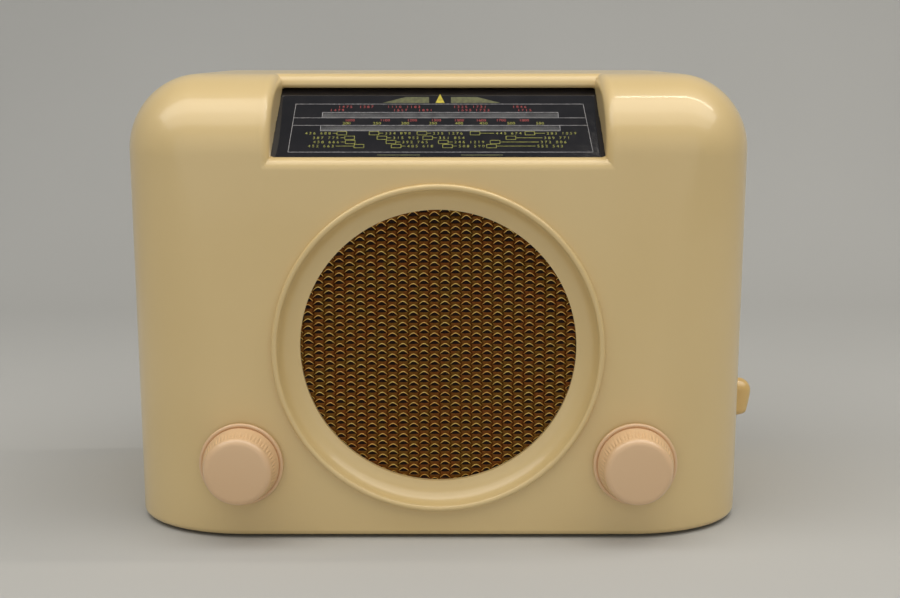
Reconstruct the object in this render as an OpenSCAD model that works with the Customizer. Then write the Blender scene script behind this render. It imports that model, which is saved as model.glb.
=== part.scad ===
/* [Case] */
// Width of the case
case_w = 312; // [304:1:336]
// Depth of the case, from the flat of the front to the rear edge
case_d = 171; // [171:1:195]
// Height of the case, without its feet
case_h = 227.8; // [226:0.1:242]
// Thickness of the moulded walls
wall = 3.5; // [2.5:0.1:4]
// Sideways radius of the front corners at the shoulder
corner_x = 36; // [28:1:40]
// Front-to-back radius of the front corners at the shoulder
corner_y = 45; // [38:1:48]
// Height of the shoulder's rounding
corner_z = 38; // [34:1:42]
// Sideways radius of the front corners at the bottom
base_x = 60; // [40:1:66]
// Front-to-back radius of the front corners at the bottom
base_y = 50; // [42:1:54]
// Radius along the bottom edges
edge_r = 3; // [1:0.5:8]
// Height of the feet
foot_h = 1.5; // [1.5:0.5:4]
// Radius of a foot
foot_r = 8; // [6:0.5:10]

/* [Dial recess] */
// Width of the recess at the front of the case
recess_w = 162.4; // [150:0.2:168]
// How much each side wall leans in from front to back
recess_draft = 2.3; // [0:0.1:3]
// Radius of the rounded lip below the glass
lip_r = 6; // [4:0.5:7]
// Top of the lip, below the top of the case
lip_drop = 39.2; // [38:0.1:41]
// How far back the upper edge of the glass lies
brow_y = 47.5; // [46:0.5:52]
// Radius of the rounded brow above the glass
brow_r = 3.5; // [2.5:0.1:4]
// Thickness of the glass
glass_t = 2.4; // [2:0.1:3]

/* [Loudspeaker] */
// Gap between the ring's bead and the rounded lip above it
ring_gap_top = 6.3; // [5:0.1:8]
// Gap between the ring's bead and the bottom of the case
ring_gap_low = 13.1; // [10:0.1:15]
// Width of the ring, from its bead to the grille opening
ring_w = 13.3; // [11:0.1:15]
// Radius of the bead's section
bead_r = 1.5; // [1:0.1:2]
// How far the bead stands out from the front
ring_out = 3; // [2:0.1:4]
// How far the edge of the grille opening lies behind the front
grille_y = 6.9; // [5:0.1:8]
// Radius of the hollow of the ring
cove_r = 12.4; // [10:0.1:20]
// Sideways spacing of the openings in the grille
mesh_x = 8.6; // [7:0.1:12]
// Upright spacing of the openings in the grille
mesh_z = 5.9; // [5:0.1:9]
// Width of the metal strands
strand = 1.5; // [1:0.1:2]
// Thickness of the grille sheet
grille_t = 0.8; // [0.6:0.1:1.2]
// Depth of the cone
cone_d = 25; // [20:1:28]
// Radius of the magnet
magnet_r = 29; // [24:1:32]

/* [Controls] */
// Sideways distance of each knob from the middle
knob_x = 97.5; // [96:0.5:104]
// Height of the knobs above the table
knob_z = 39; // [36:0.5:40]
// Radius of a knob over its bead
knob_r = 20.8; // [18:0.1:22]
// Radius of the knob's front disc, to the middle of its rounded edge
disc_r = 16.9; // [14:0.1:17.5]
// How far a knob stands out from the front
knob_out = 18.5; // [15:0.5:22]
// Number of flutes round a knob
flutes = 28; // [20:1:36]
// Radius of the control spindles
spindle_r = 3; // [2.5:0.1:3.2]
// Height of the wave-change lever's axis
lever_z = 62; // [61:0.5:66]
// Distance of the wave-change lever behind the front
lever_y = 60; // [56:0.5:64]
// How far the lever stands out from the side
lever_out = 10; // [9:0.5:14]
// Length of the lever's tail below its axis
lever_tail = 13.3; // [11:0.1:18]

/* [Chassis] */
// Height of the chassis deck above the table
deck_z = 53; // [53:0.5:55]
// Thickness of the chassis sheet
sheet = 1.2; // [1:0.1:1.6]
// Gap between the chassis and each side wall of the case
side_gap = 20.5; // [19.5:0.5:24]
// Distance of the chassis wings behind the front
wing_y = 20; // [19:0.5:22]
// Width of each chassis wing
wing_w = 58; // [54:1:59]
// Distance of the main chassis behind the front
main_y = 94; // [93:0.5:96]

/* [Tuning drive] */
// Sideways place of the tuning capacitor's shaft
gang_x = 30; // [28:0.5:33]
// Height of the tuning capacitor's shaft
gang_z = 102; // [100:0.5:106]
// Radius at which the cord lies on the drum
drum_r = 38.1; // [36:0.1:39]
// Radius at which the cord lies on the tuning spindle
drive_r = 3.2; // [3:0.1:3.4]
// Radius at which the cord lies on a pulley
pulley_r = 5; // [4.5:0.1:6]
// Distance of each pulley's axis from the side plate of the dial frame
pulley_gap = 7.2; // [7:0.1:9]
// Radius of the drive cord
cord_r = 0.4; // [0.3:0.05:0.5]
// Radius of the rotor's vanes
vane_r = 21; // [18:0.5:22]
// Number of rotor vanes in each half of the capacitor
vanes = 6; // [4:1:7]

/* [Hidden] */
$fn = 48;
hull_fn = 32;
gap = 0.3;
running = 0.05;
case_top = foot_h + case_h;
floor_z = foot_h + wall;
inner_x = case_w / 2 - wall;
knob_gap = 1;
back_t = 3;
lever_gap = 0.6;

// The middle of the whole object's footprint is the origin, so the case is set off by its knobs and its lever
mid_x = -lever_out / 2;
front_y = (knob_out - case_d) / 2;

// Dial slope, measured from the lip to the brow
lip_top = case_top - lip_drop;
lip_z = lip_top - lip_r;
brow_z = case_top - 0.2 - brow_r;
glass_end = [brow_y - 1.5, brow_z - brow_r - 1.2];
slope = atan2(glass_end[1] - lip_top, glass_end[0] - lip_r);
glass_len = norm(glass_end - [lip_r, lip_top]);
along = [cos(slope), sin(slope)];
under = [sin(slope), -cos(slope)];
function dial_point(s, depth) = [lip_r, lip_top] + s * along + depth * under;

// The ring fills the front between the lip and the bottom of the case
ring_r = (lip_z - foot_h - ring_gap_top - ring_gap_low) / 2;
ring_z = foot_h + ring_gap_low + ring_r;
grille_r = ring_r - ring_w;

// Loudspeaker stack behind the ring
ring_back = 9.5;
boss_r = ring_r + 3;
grille_edge = grille_r + 6.2;
cloth_t = 0.4;
cloth_y = ring_back + grille_t + 0.05;
baffle_t = 7;
flange_y = ring_back + baffle_t;
flange_t = 1.5;
flange_r = ring_r + 0.4;
screw_r = 2;
speaker_screw_r = grille_edge + 0.4 + screw_r;
screw_tip_y = ring_back - 4;
basket_y = flange_y + flange_t + cone_d + 4;
magnet_y = basket_y + 28;

// Chassis outline
chassis_x = inner_x - side_gap;
chassis_back = case_d - 13;
chassis_z = floor_z + 3.5;
chassis_screw_x = chassis_x - 11;
chassis_screw_y = [main_y + 14, chassis_back - 30];
deck_top = deck_z;

// Drive
cord_y = main_y - 6;
dial_z = dial_point(glass_len, 0)[1] - 16;
rail_y = cord_y - 8;
rail_z = dial_z + 8;
rail_r = 1.5;
upright_y = cord_y + 4;
pointer_travel = drum_r * PI;
pointer_rest = -pointer_travel / 2;
cheek_x = recess_w / 2 + 5;
pulley_x = cheek_x - pulley_gap;
spindle_end = cord_y + 5;
cord_turns = 2;
cord_pitch = 1.1;

// Back cover
back_y = case_d - back_t - 1;
back_screw_x = inner_x - 4.4;
back_screw_z = [foot_h + 30, case_top - 48];
socket_inset = 57.5;
socket_x = socket_inset - inner_x;
socket_z = 32;
socket_r = 2;
cable_inset = 48.5;
cable_x = inner_x - cable_inset;
cable_z = 24;

// Deck pieces: place on the deck as [sideways, back from the main chassis edge]
valve_r = 10.5;
valve_places = [[-8, 46], [-66, 17], [-118, 17], [76, 17], [104, 17]];
valve_heights = [52, 48, 48, 58, 56];
can_places = [[-38, 17], [-92, 17]];
can_side = 25;
can_h = 62;
smoother_place = [-60, 46];
dropper_place = [118, 46];
transformer_place = [82, 46];
socket_h = 7;

// Moves case coordinates (middle of the front at the table) into the object's frame
module in_frame() translate([mid_x, front_y, 0]) children();

// Round bar along the depth
module rod_y(x, z, r, y0, y1) translate([x, y0, z]) rotate([-90, 0, 0]) cylinder(h = y1 - y0, r = r);

// Round bar across the width
module rod_x(x0, x1, y, z, r) translate([x0, y, z]) rotate([0, 90, 0]) cylinder(h = x1 - x0, r = r);

// Turned shape about an axis along the depth: the outline gives radius and depth
module turned_y(x, z) translate([x, 0, z]) rotate([-90, 0, 0]) rotate_extrude() children();

// Outline in depth and height, given a width between x0 and x1
module across(x0, x1) translate([x0, 0, 0]) rotate([90, 0, 90]) linear_extrude(x1 - x0) children();

// Outline in width and height, given a depth between y0 and y1
module deep(y0, y1) translate([0, y1, 0]) rotate([90, 0, 0]) linear_extrude(y1 - y0) children();

// Box between two corners
module block(low, high) translate(low) cube(high - low);

// Centre of the circle of radius r through p and q, on the left of the way from p to q
function arc_centre(p, q, r) =
    let (d = q - p, h = sqrt(r * r - d * d / 4), n = [-d[1], d[0]] / norm(d)) (p + q) / 2 + h * n;

// Points along an arc round c, from one angle to another
function arc(c, r, a0, a1, n) =
    [for (i = [0:n]) c + r * [cos(a0 + (a1 - a0) * i / n), sin(a0 + (a1 - a0) * i / n)]];

// Case

// Half of a unit circle, as an outline to turn into a ball with points at its poles
function half_circle(steps) = [for (i = [0:steps]) [cos(-90 + 180 * i / steps), sin(-90 + 180 * i / steps)]];

module unit_ball() rotate_extrude($fn = hull_fn) polygon(half_circle(hull_fn / 2));

// Foot of a front corner: a disc with a rounded lower edge
module corner_foot(r, round)
    rotate_extrude($fn = hull_fn)
        polygon(concat(
            [[0, 0]],
            [for (i = [0:6]) [r - round + round * sin(15 * i), round - round * cos(15 * i)]],
            [[r, round + 1], [0, round + 1]]
        ));

// Radius along the bottom edges when the form is drawn in by an inset
function edge_round(inset) = max(edge_r - inset, 0.5);

// Rounded body of the case, drawn in by an inset on every side but the rear
module case_form(inset, rear)
    hull()
        for (side = [-1, 1]) {
            translate([side * (case_w / 2 - corner_x), corner_y, case_top - corner_z])
                scale([corner_x - inset, corner_y - inset, corner_z - inset]) unit_ball();
            translate([side * (case_w / 2 - base_x), base_y, foot_h + inset])
                scale([1, (base_y - inset) / (base_x - inset), 1]) corner_foot(base_x - inset, edge_round(inset));
            translate([side * (case_w / 2 - corner_x), rear, case_top - corner_z])
                rotate([90, 0, 0]) scale([corner_x - inset, corner_z - inset, 1]) cylinder(h = 1, r = 1, $fn = hull_fn);
            translate([side * (case_w / 2 - inset - edge_round(inset)), rear, foot_h + inset + edge_round(inset)])
                rotate([90, 0, 0]) cylinder(h = 1, r = edge_round(inset), $fn = hull_fn);
        }

// Open space of the dial recess, in depth and height
module recess_outline()
    difference() {
        polygon([
            [-1, lip_z], [lip_r, lip_z], [lip_r, lip_top], dial_point(1, 1), dial_point(glass_len, 1),
            [brow_y, brow_z - brow_r], [brow_y, case_top + 10], [-1, case_top + 10]
        ]);
        translate([lip_r, lip_z]) circle(lip_r);
        translate([brow_y, brow_z]) circle(brow_r);
    }

module recess_space()
    intersection() {
        across(-recess_w / 2 - 1, recess_w / 2 + 1) recess_outline();
        linear_extrude(case_top + 20)
            polygon([
                [-recess_w / 2, -2], [recess_w / 2, -2],
                [recess_w / 2 - recess_draft, brow_y + 2], [-recess_w / 2 + recess_draft, brow_y + 2]
            ]);
    }

// Solid that the recess keeps of the case's inside: cheeks, lip and brow
module recess_lining()
    across(-recess_w / 2 - 3, recess_w / 2 + 3)
        polygon([
            [wall - 1, lip_z - 8], [wall - 0.1, lip_z - 1], [lip_r - 0.6, lip_top - 3.4], dial_point(-0.1, 2),
            dial_point(0, 0), dial_point(glass_len + 2, 0), [brow_y + 3, brow_z - brow_r],
            [brow_y + 6, case_top - wall - 0.1], [brow_y + 6, case_top + 5], [-5, case_top + 5], [-5, lip_z - 8]
        ]);

// Moulded ring round the loudspeaker, as radius and depth: hollow, bead and the boss behind the wall
bead_at = [ring_r - bead_r, bead_r - ring_out];

module ring_outline() {
    cove_top = bead_at - [bead_r, 0];
    cove_end = [grille_r, grille_y];
    c = arc_centre(cove_top, cove_end, cove_r);
    polygon(concat(
        arc(c, cove_r, atan2(cove_end[1] - c[1], cove_end[0] - c[0]), atan2(cove_top[1] - c[1], cove_top[0] - c[0]), 14),
        arc(bead_at, bead_r, 190, 360, 14),
        [[ring_r, wall / 2], [boss_r, wall / 2], [boss_r, ring_back], [grille_r, ring_back]]
    ));
}

module vents_in_floor()
    for (i = [-4:4]) translate([i * 22 - 2, 118, foot_h - 1]) cube([4, 34, wall + 2]);

module cabinet() color("#d8c89a") in_frame() {
    difference() {
        union() {
            difference() {
                case_form(0, case_d);
                difference() {
                    case_form(wall, case_d + 2);
                    recess_lining();
                }
                rod_y(0, ring_z, bead_at[0], -1, wall + 1);
            }
            turned_y(0, ring_z) ring_outline();
            for (side = [-1, 1], z = back_screw_z) rod_y(side * back_screw_x, z, 5, back_y - 40, back_y);
            for (side = [-1, 1], y = chassis_screw_y)
                translate([side * chassis_screw_x, y, foot_h + 1]) cylinder(h = chassis_z - foot_h - 1, r = 6);
        }
        recess_space();
        for (side = [-1, 1]) rod_y(side * knob_x, knob_z, spindle_r + 3, -1, wall + 1);
        rod_x(inner_x - 2, case_w / 2 + 2, lever_y, lever_z, spindle_r + 2);
        for (side = [-1, 1], z = back_screw_z) rod_y(side * back_screw_x, z, 1.5, back_y - 14, back_y + 1);
        for (side = [-1, 1], y = chassis_screw_y)
            translate([side * chassis_screw_x, y, 0]) cylinder(h = 20, r = 2.2);
        for (side = [-1, 1], y = chassis_screw_y)
            translate([side * chassis_screw_x, y, 0]) cylinder(h = foot_h + 2.6, r = 4.6);
        vents_in_floor();
        for (side = [-1, 1], a = [45, 135])
            rod_y(side * speaker_screw_r * cos(45), ring_z + speaker_screw_r * (a - 90) / 45 * sin(45),
                1.4, screw_tip_y, ring_back + 1);
    }
}

module feet() color("#2a2826") in_frame()
    for (side = [-1, 1], y = [corner_y - 4, case_d - 22])
        translate([side * (case_w / 2 - corner_x), y, 0])
            rotate_extrude()
                polygon([[0, 0], [foot_r - foot_h / 2, 0], [foot_r, foot_h / 2], [foot_r, foot_h], [0, foot_h]]);

// Loudspeaker

// One opening of the expanded metal: flat below, arched above
function mesh_hole(x, z) =
    let (w = (mesh_x * 2 - strand * 2) / 2, h = mesh_z - strand)
        [[x - w / 2, z - h / 2], [x, z - h * 0.2], [x + w / 2, z - h / 2], [x + w / 4, z + h * 0.35], [x, z + h / 2],
            [x - w / 4, z + h * 0.35]];

mesh_columns = floor(grille_r / mesh_x);
mesh_rows = floor(grille_r / mesh_z);
mesh_holes = [
    for (i = [-mesh_columns:mesh_columns], j = [-mesh_rows - 1:mesh_rows])
        let (x = i * mesh_x, z = (j + (i % 2 == 0 ? 0 : 0.5)) * mesh_z)
            if (norm([x, z]) < grille_r - mesh_z * 0.9) mesh_hole(x, z)
];

module speaker_grille() color("#8a6a3c") in_frame()
    translate([0, ring_back + grille_t, ring_z]) rotate([90, 0, 0])
        linear_extrude(grille_t)
            difference() {
                circle(grille_edge);
                polygon(
                    [for (h = mesh_holes, p = h) p],
                    [for (k = [0:len(mesh_holes) - 1]) [for (i = [0:5]) 6 * k + i]]
                );
            }

module grille_cloth() color("#3a1c14") in_frame()
    rod_y(0, ring_z, grille_edge, cloth_y, cloth_y + cloth_t);

module baffle_board() color("#8d6f47") in_frame()
    difference() {
        turned_y(0, ring_z)
            polygon([
                [grille_r - 2, cloth_y + cloth_t + 0.05], [grille_edge + 0.3, cloth_y + cloth_t + 0.05],
                [grille_edge + 0.3, ring_back], [boss_r, ring_back], [boss_r, flange_y], [grille_r - 2, flange_y]
            ]);
        speaker_holes(screw_r + 0.1, ring_back - 1, flange_y + 1);
    }

module speaker_holes(r, y0, y1)
    for (a = [45:90:315])
        rod_y(speaker_screw_r * cos(a), ring_z + speaker_screw_r * sin(a), r, y0, y1);

// Window in the loudspeaker's basket
module basket_windows()
    for (a = [0:60:300])
        translate([0, 0, ring_z]) rotate([0, a, 0])
            translate([-9, flange_y + flange_t + 3, 34]) cube([18, cone_d - 6, 60]);

module speaker_frame() color("#6f7276") in_frame()
    difference() {
        turned_y(0, ring_z)
            polygon([
                [grille_r - 1, flange_y], [flange_r, flange_y], [flange_r, flange_y + flange_t],
                [grille_r + 2, flange_y + flange_t], [magnet_r + 5, basket_y], [magnet_r + 5, basket_y + 2],
                [12, basket_y + 2], [12, basket_y], [magnet_r + 3.4, basket_y], [grille_r - 1, flange_y + flange_t]
            ]);
        basket_windows();
        speaker_holes(screw_r + 0.1, flange_y - 1, flange_y + flange_t + 1);
    }

module speaker_cone() color("#2b2622") in_frame()
    turned_y(0, ring_z)
        polygon([
            [grille_r - 1.2, flange_y], [grille_r - 1.2, flange_y + 0.8], [grille_r - 6, flange_y + 1.6],
            [12, flange_y + cone_d], [11.4, flange_y + cone_d + 4], [0, flange_y + cone_d + 4],
            [0, flange_y + cone_d - 6], [7, flange_y + cone_d - 4.5], [12, flange_y + cone_d - 1],
            [grille_r - 6, flange_y + 0.8], [grille_r - 5, flange_y]
        ]);

module speaker_magnet() color("#55585c") in_frame() {
    turned_y(0, ring_z)
        polygon([
            [0, basket_y + 2], [magnet_r + 3, basket_y + 2], [magnet_r + 3, basket_y + 6], [magnet_r, basket_y + 7],
            [magnet_r, magnet_y - 3], [magnet_r - 3, magnet_y], [0, magnet_y]
        ]);
}

module speaker_screws() color("#b8a878") in_frame()
    for (a = [45:90:315])
        translate([speaker_screw_r * cos(a), 0, ring_z + speaker_screw_r * sin(a)]) {
            translate([0, screw_tip_y, 0]) rotate([-90, 0, 0]) cylinder(h = flange_y + flange_t - screw_tip_y, r = 1.4);
            translate([0, flange_y + flange_t, 0]) rotate([-90, 0, 0])
                difference() {
                    cylinder(h = 2, r = 3.4);
                    translate([-4, -0.5, 1]) cube([8, 1, 2]);
                }
        }

// Output transformer: a stack of iron sheets with two windows, and a coil round its middle limb
core = [44, 16, 40];
limb_w = 18;
window_w = 7;
window_z = [8, 32];
coil_out = 6;

module output_transformer() color("#7c7266") in_frame()
    translate([transformer_place[0], main_y + transformer_place[1], deck_top]) {
        window_end = limb_w / 2 + window_w;
        difference() {
            block([-core[0] / 2, -core[1] / 2, 0], [core[0] / 2, core[1] / 2, core[2]]);
            for (s = [-1, 1])
                translate([s * (limb_w + window_w) / 2 - window_w / 2, -core[1] / 2 - 1, window_z[0]])
                    cube([window_w, core[1] + 2, window_z[1] - window_z[0]]);
        }
        difference() {
            block(
                [-window_end + 0.1, -core[1] / 2 - coil_out, window_z[0] + 0.5],
                [window_end - 0.1, core[1] / 2 + coil_out, window_z[1] - 0.5]
            );
            block([-limb_w / 2 - 0.1, -core[1] / 2 - 0.1, 0], [limb_w / 2 + 0.1, core[1] / 2 + 0.1, core[2]]);
        }
    }

// Dial

module dial_glass() color("#1d1c22") in_frame()
    across(-recess_w / 2 - 2.5, recess_w / 2 + 2.5) dial_strip(0.1, glass_len + 1, 0.05, glass_t);

// Strip parallel to the glass between two distances up the slope and two depths below it
module dial_strip(s0, s1, d0, d1)
    polygon([dial_point(s0, d0), dial_point(s1, d0), dial_point(s1, d1), dial_point(s0, d1)]);

// Spring clips: a pad under each edge of the glass, with a leg on the side plate of the dial frame
module glass_clips() color("#a9a9a4") in_frame()
    for (side = [-1, 1], s = [8, glass_len - 16])
        mirror([side < 0 ? 1 : 0, 0, 0]) {
            across(recess_w / 2 - 1.5, cheek_x) dial_strip(s, s + 8, glass_t + 0.05, glass_t + 0.85);
            across(cheek_x - 0.8, cheek_x) dial_strip(s, s + 8, glass_t + 0.05, glass_t + 7);
        }

plate_depth = 11;
bulb_r = 4.4;

module dial_backplate() color("#e6e2d2") in_frame()
    difference() {
        across(-cheek_x, cheek_x) dial_strip(1, glass_len - 4, plate_depth, plate_depth + 1);
        for (side = [-1, 1]) on_dial(side * lamp_x, lamp_s, plate_depth - 1) cylinder(h = 3, r = bulb_r + 0.3);
    }

// Side plate of the dial frame, in depth and height
module cheek_outline()
    polygon([
        dial_point(0, glass_t + 2), dial_point(glass_len - 6, glass_t + 2), [upright_y, rail_z + 5],
        [upright_y, dial_z - 14], dial_point(glass_len - 6, plate_depth + 14), dial_point(0, plate_depth + 2)
    ]);

module dial_frame() color("#9a9c9c") in_frame() {
    difference() {
        union() {
            for (side = [-1, 1]) {
                across(side * (cheek_x + sheet / 2) - sheet / 2, side * (cheek_x + sheet / 2) + sheet / 2)
                    cheek_outline();
                block(
                    [side * (cheek_x - 5) - 9, upright_y, deck_top],
                    [side * (cheek_x - 5) + 9, upright_y + sheet, rail_z + 5]
                );
                block(
                    [side * (cheek_x - 5) - 9, upright_y, deck_top],
                    [side * (cheek_x - 5) + 9, upright_y + 5.5, deck_top + sheet]
                );
            }
            block([-cheek_x, upright_y, dial_z - 14], [cheek_x, upright_y + sheet, dial_z - 7]);
        }
        rod_x(-cheek_x - 5, cheek_x + 5, rail_y, rail_z, rail_r + 0.02);
    }
    for (side = [-1, 1]) rod_y(side * pulley_x, dial_z, 1.5, cord_y - 2.6, upright_y + 0.5);
    for (side = [-1, 1]) rod_y(side * pulley_x, dial_z, 3, cord_y + 2.2, upright_y + 0.5);
}

module pointer_rail() color("#c2c4c6") in_frame()
    rod_x(-cheek_x - sheet - 1, cheek_x + sheet + 1, rail_y, rail_z, rail_r);

needle_depth = glass_t + 4;

module pointer() color("#c8472c") in_frame()
    translate([pointer_rest, 0, 0]) {
        difference() {
            block([-7, rail_y - 4, rail_z - 4], [7, rail_y + 4, rail_z + 4]);
            rod_x(-8, 8, rail_y, rail_z, rail_r + running);
        }
        difference() {
            block([-3, rail_y + 3.5, cord_run_z - 2], [3, cord_y + 2, cord_run_z + 2]);
            block([-4, cord_y - 1, cord_run_z - 1], [4, cord_y + 3, cord_run_z + 1]);
        }
        across(-0.9, 0.9)
            polygon([
                [rail_y - 3.5, rail_z + 1], [rail_y - 3.5, rail_z + 2.2],
                dial_point(glass_len + 2, needle_depth), dial_point(glass_len, needle_depth + 1),
            ]);
        across(-0.5, 0.5)
            polygon([
                dial_point(glass_len + 2, needle_depth), dial_point(3, needle_depth),
                dial_point(3, needle_depth + 1), dial_point(glass_len, needle_depth + 1)
            ]);
    }

// Pulley with a groove for the cord
module pulley(side) color("#b9883a") in_frame()
    turned_y(side * pulley_x, dial_z)
        polygon([
            [1.5 + running, cord_y - 2], [pulley_r + 1.6, cord_y - 2], [pulley_r + 1.6, cord_y - 1.2],
            [pulley_r - cord_r - gap, cord_y - 0.8], [pulley_r - cord_r - gap, cord_y + 0.8],
            [pulley_r + 1.6, cord_y + 1.2], [pulley_r + 1.6, cord_y + 2], [1.5 + running, cord_y + 2]
        ]);

module pulley_left() pulley(-1);
module pulley_right() pulley(1);

// Drive cord: wheels as [sideways, height, radius], all taken clockwise
drum_wheel = [gang_x, gang_z, drum_r];
left_wheel = [-pulley_x, dial_z, pulley_r];
right_wheel = [pulley_x, dial_z, pulley_r];
drive_wheel = [knob_x, knob_z, drive_r];
cord_run_z = dial_z + pulley_r;

function centre(w) = [w[0], w[1]];

// Direction of the straight run from wheel a to wheel b, both taken clockwise
function run_angle(a, b) =
    let (d = centre(b) - centre(a), k = a[2] - b[2]) atan2(d[1], d[0]) - atan2(k, sqrt(d * d - k * k));

// Angle on a wheel of the point where a run in direction t touches it
function touch(t) = t + 90;

// Clockwise points on a wheel from angle a down to angle b, moving in depth from y0 to y1
function wrap(w, a, b, y0, y1) =
    let (n = max(2, ceil((a - b) / (2 * acos(1 - chord_sag / w[2])))))
        [for (i = [0:n])
            let (t = a + (b - a) * i / n) [w[0] + w[2] * cos(t), y0 + (y1 - y0) * i / n, w[1] + w[2] * sin(t)]];

function below(a, b) = a > b ? below(a - 360, b) : a;

strand_y = 0.6;
chord_sag = 0.12;
up_run = run_angle(drum_wheel, left_wheel);
dial_run = run_angle(left_wheel, right_wheel);
down_run = run_angle(right_wheel, drive_wheel);
drum_run = run_angle(drive_wheel, drum_wheel);
drive_in = touch(down_run);
drive_out = below(touch(drum_run), drive_in) - 360 * cord_turns;
left_out = below(touch(dial_run), touch(up_run));
right_out = below(touch(down_run), touch(dial_run));

cord_path = concat(
    wrap(drum_wheel, touch(up_run) + 200, touch(up_run), cord_y + strand_y, cord_y + strand_y),
    wrap(left_wheel, touch(up_run), left_out, cord_y, cord_y),
    wrap(right_wheel, touch(dial_run), right_out, cord_y, cord_y),
    wrap(drive_wheel, drive_in, drive_out, cord_y + cord_pitch, cord_y - cord_pitch),
    wrap(drum_wheel, touch(drum_run), touch(drum_run) - 40, cord_y - strand_y, cord_y - strand_y)
);

// Unit direction of the path at point i
function heading(path, i) =
    let (a = path[max(0, i - 1)], b = path[min(len(path) - 1, i + 1)]) (b - a) / norm(b - a);

// Ring of points square to the path: the route never runs along the depth, so that axis steadies it
function ring_at(p, dir, r, sides) =
    let (u = cross(dir, [0, 1, 0]) / norm(cross(dir, [0, 1, 0])), v = cross(dir, u))
        [for (k = [0:sides - 1]) p + r * (cos(360 * k / sides) * u + sin(360 * k / sides) * v)];

module tube(path, r, sides) {
    n = len(path);
    points = [for (i = [0:n - 1]) each ring_at(path[i], heading(path, i), r, sides)];
    walls = [
        for (i = [0:n - 2], k = [0:sides - 1])
            let (a = i * sides + k, b = i * sides + (k + 1) % sides)
                each [[a, b, b + sides], [a, b + sides, a + sides]]
    ];
    first = [for (k = [1:sides - 2]) [0, k + 1, k]];
    last = [for (k = [1:sides - 2]) [(n - 1) * sides, (n - 1) * sides + k, (n - 1) * sides + k + 1]];
    polyhedron(points, concat(walls, first, last));
}

module drive_cord() color("#c9bfa4") in_frame() tube(cord_path, cord_r, 6);

// Controls

// Knob outline: hub, disc with a rounded edge, fluted wall, groove, bead and hollow skirt, as radius and depth
module knob_outline() {
    shell = 2.2;
    round_r = 2.2;
    front = -knob_out;
    back = -knob_gap;
    hub = spindle_r + 3.5;
    bore = spindle_r + 0.02;
    bead = 1.1;
    polygon(concat(
        [[bore, back - 1], [bore, front + 3.2], [0, front + 3.2], [0, front]],
        arc([disc_r - round_r, front + 0.4 + round_r], round_r, -90, 0, 6),
        [flute_back, [flute_back[0] - 0.6, back - 2.8]],
        arc([knob_r - bead, back - bead], bead, -150, 90, 10),
        [
            [knob_r - 3.4, back], [knob_r - 3.4 - shell, back - 3], [disc_r - shell, front + 4],
            [hub, front + 4], [hub, back - 1]
        ]
    ));
}

// Where the fluted wall starts and ends, as radius and depth
flute_front = [disc_r, -knob_out + 2.4];
flute_back = [knob_r - 1.9, -knob_gap - 3.4];
flute_tilt = atan2(flute_back[0] - flute_front[0], flute_back[1] - flute_front[1]);
flute_len = norm(flute_back - flute_front) - 2.2;
grub_y = -knob_gap - 5.5;

module knob(x) color("#dcc7a0") in_frame()
    difference() {
        turned_y(x, knob_z) knob_outline();
        translate([x, 0, knob_z]) rotate([-90, 0, 0])
            for (i = [0:flutes - 1])
                rotate([0, 0, 360 * (i + 0.5) / flutes]) translate([flute_front[0] + 0.45, 0, flute_front[1] + 1.2])
                    rotate([0, flute_tilt, 0]) cylinder(h = flute_len, r = 0.75);
        translate([x, grub_y, knob_z - knob_r]) cylinder(h = knob_r, r = 1.5);
    }

module tuning_knob() knob(knob_x);
module volume_knob() knob(-knob_x);

// Grub screw under the spindle, with its slot outwards
module grub_screw(x) color("#5a5a5e") in_frame()
    translate([x, grub_y, knob_z - spindle_r - 0.05]) rotate([180, 0, 0])
        difference() {
            cylinder(h = 5, r = 1.45);
            translate([-2, -0.3, 4.2]) cube([4, 0.6, 2]);
        }

module tuning_grub_screw() grub_screw(knob_x);
module volume_grub_screw() grub_screw(-knob_x);

// Spindle that carries a knob
module spindle(x, y1) rod_y(x, knob_z, spindle_r, -knob_out + 3.4, y1);

module tuning_spindle() color("#c9cacb") in_frame() {
    waist = drive_r - cord_r - gap;
    turned_y(knob_x, knob_z)
        polygon([
            [0, -knob_out + 3.4], [spindle_r, -knob_out + 3.4], [spindle_r, cord_y - 3], [waist, cord_y - 2.2],
            [waist, cord_y + 2.2], [spindle_r, cord_y + 3], [spindle_r, spindle_end + 2], [0, spindle_end + 2]
        ]);
}

module tuning_bush() color("#b48a3c") in_frame()
    turned_y(knob_x, knob_z)
        polygon([
            [spindle_r + running, wing_y - 5], [5, wing_y - 5], [5, wing_y - 2.4], [7.5, wing_y - 2.4], [7.5, wing_y],
            [4.9, wing_y], [4.9, wing_y + sheet], [7.5, wing_y + sheet], [7.5, wing_y + sheet + 2.4],
            [5, wing_y + sheet + 2.4], [5, wing_y + 8], [spindle_r + running, wing_y + 8]
        ]);

pot_r = 11.5;
pot_y = wing_y + sheet;

module volume_control() color("#8a7a52") in_frame()
    turned_y(-knob_x, knob_z)
        polygon([
            [spindle_r + running, wing_y - 7], [4.7, wing_y - 7], [4.7, pot_y], [pot_r, pot_y],
            [pot_r, pot_y + 14], [pot_r - 1.5, pot_y + 14], [pot_r - 1.5, pot_y + 24], [0, pot_y + 24],
            [0, pot_y + 13], [spindle_r + running, pot_y + 13]
        ]);

module volume_nut() color("#c4a458") in_frame()
    difference() {
        translate([-knob_x, wing_y - 3, knob_z]) rotate([-90, 0, 0]) cylinder(h = 3, r = 8, $fn = 6);
        rod_y(-knob_x, knob_z, 4.75, wing_y - 4, wing_y + 1);
    }

module volume_spindle() color("#c9cacb") in_frame() spindle(-knob_x, pot_y + 12.5);

switch_x = chassis_x - 4;
wafer_x = [switch_x - 22, switch_x - 12];
wafer_r = 14;

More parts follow.
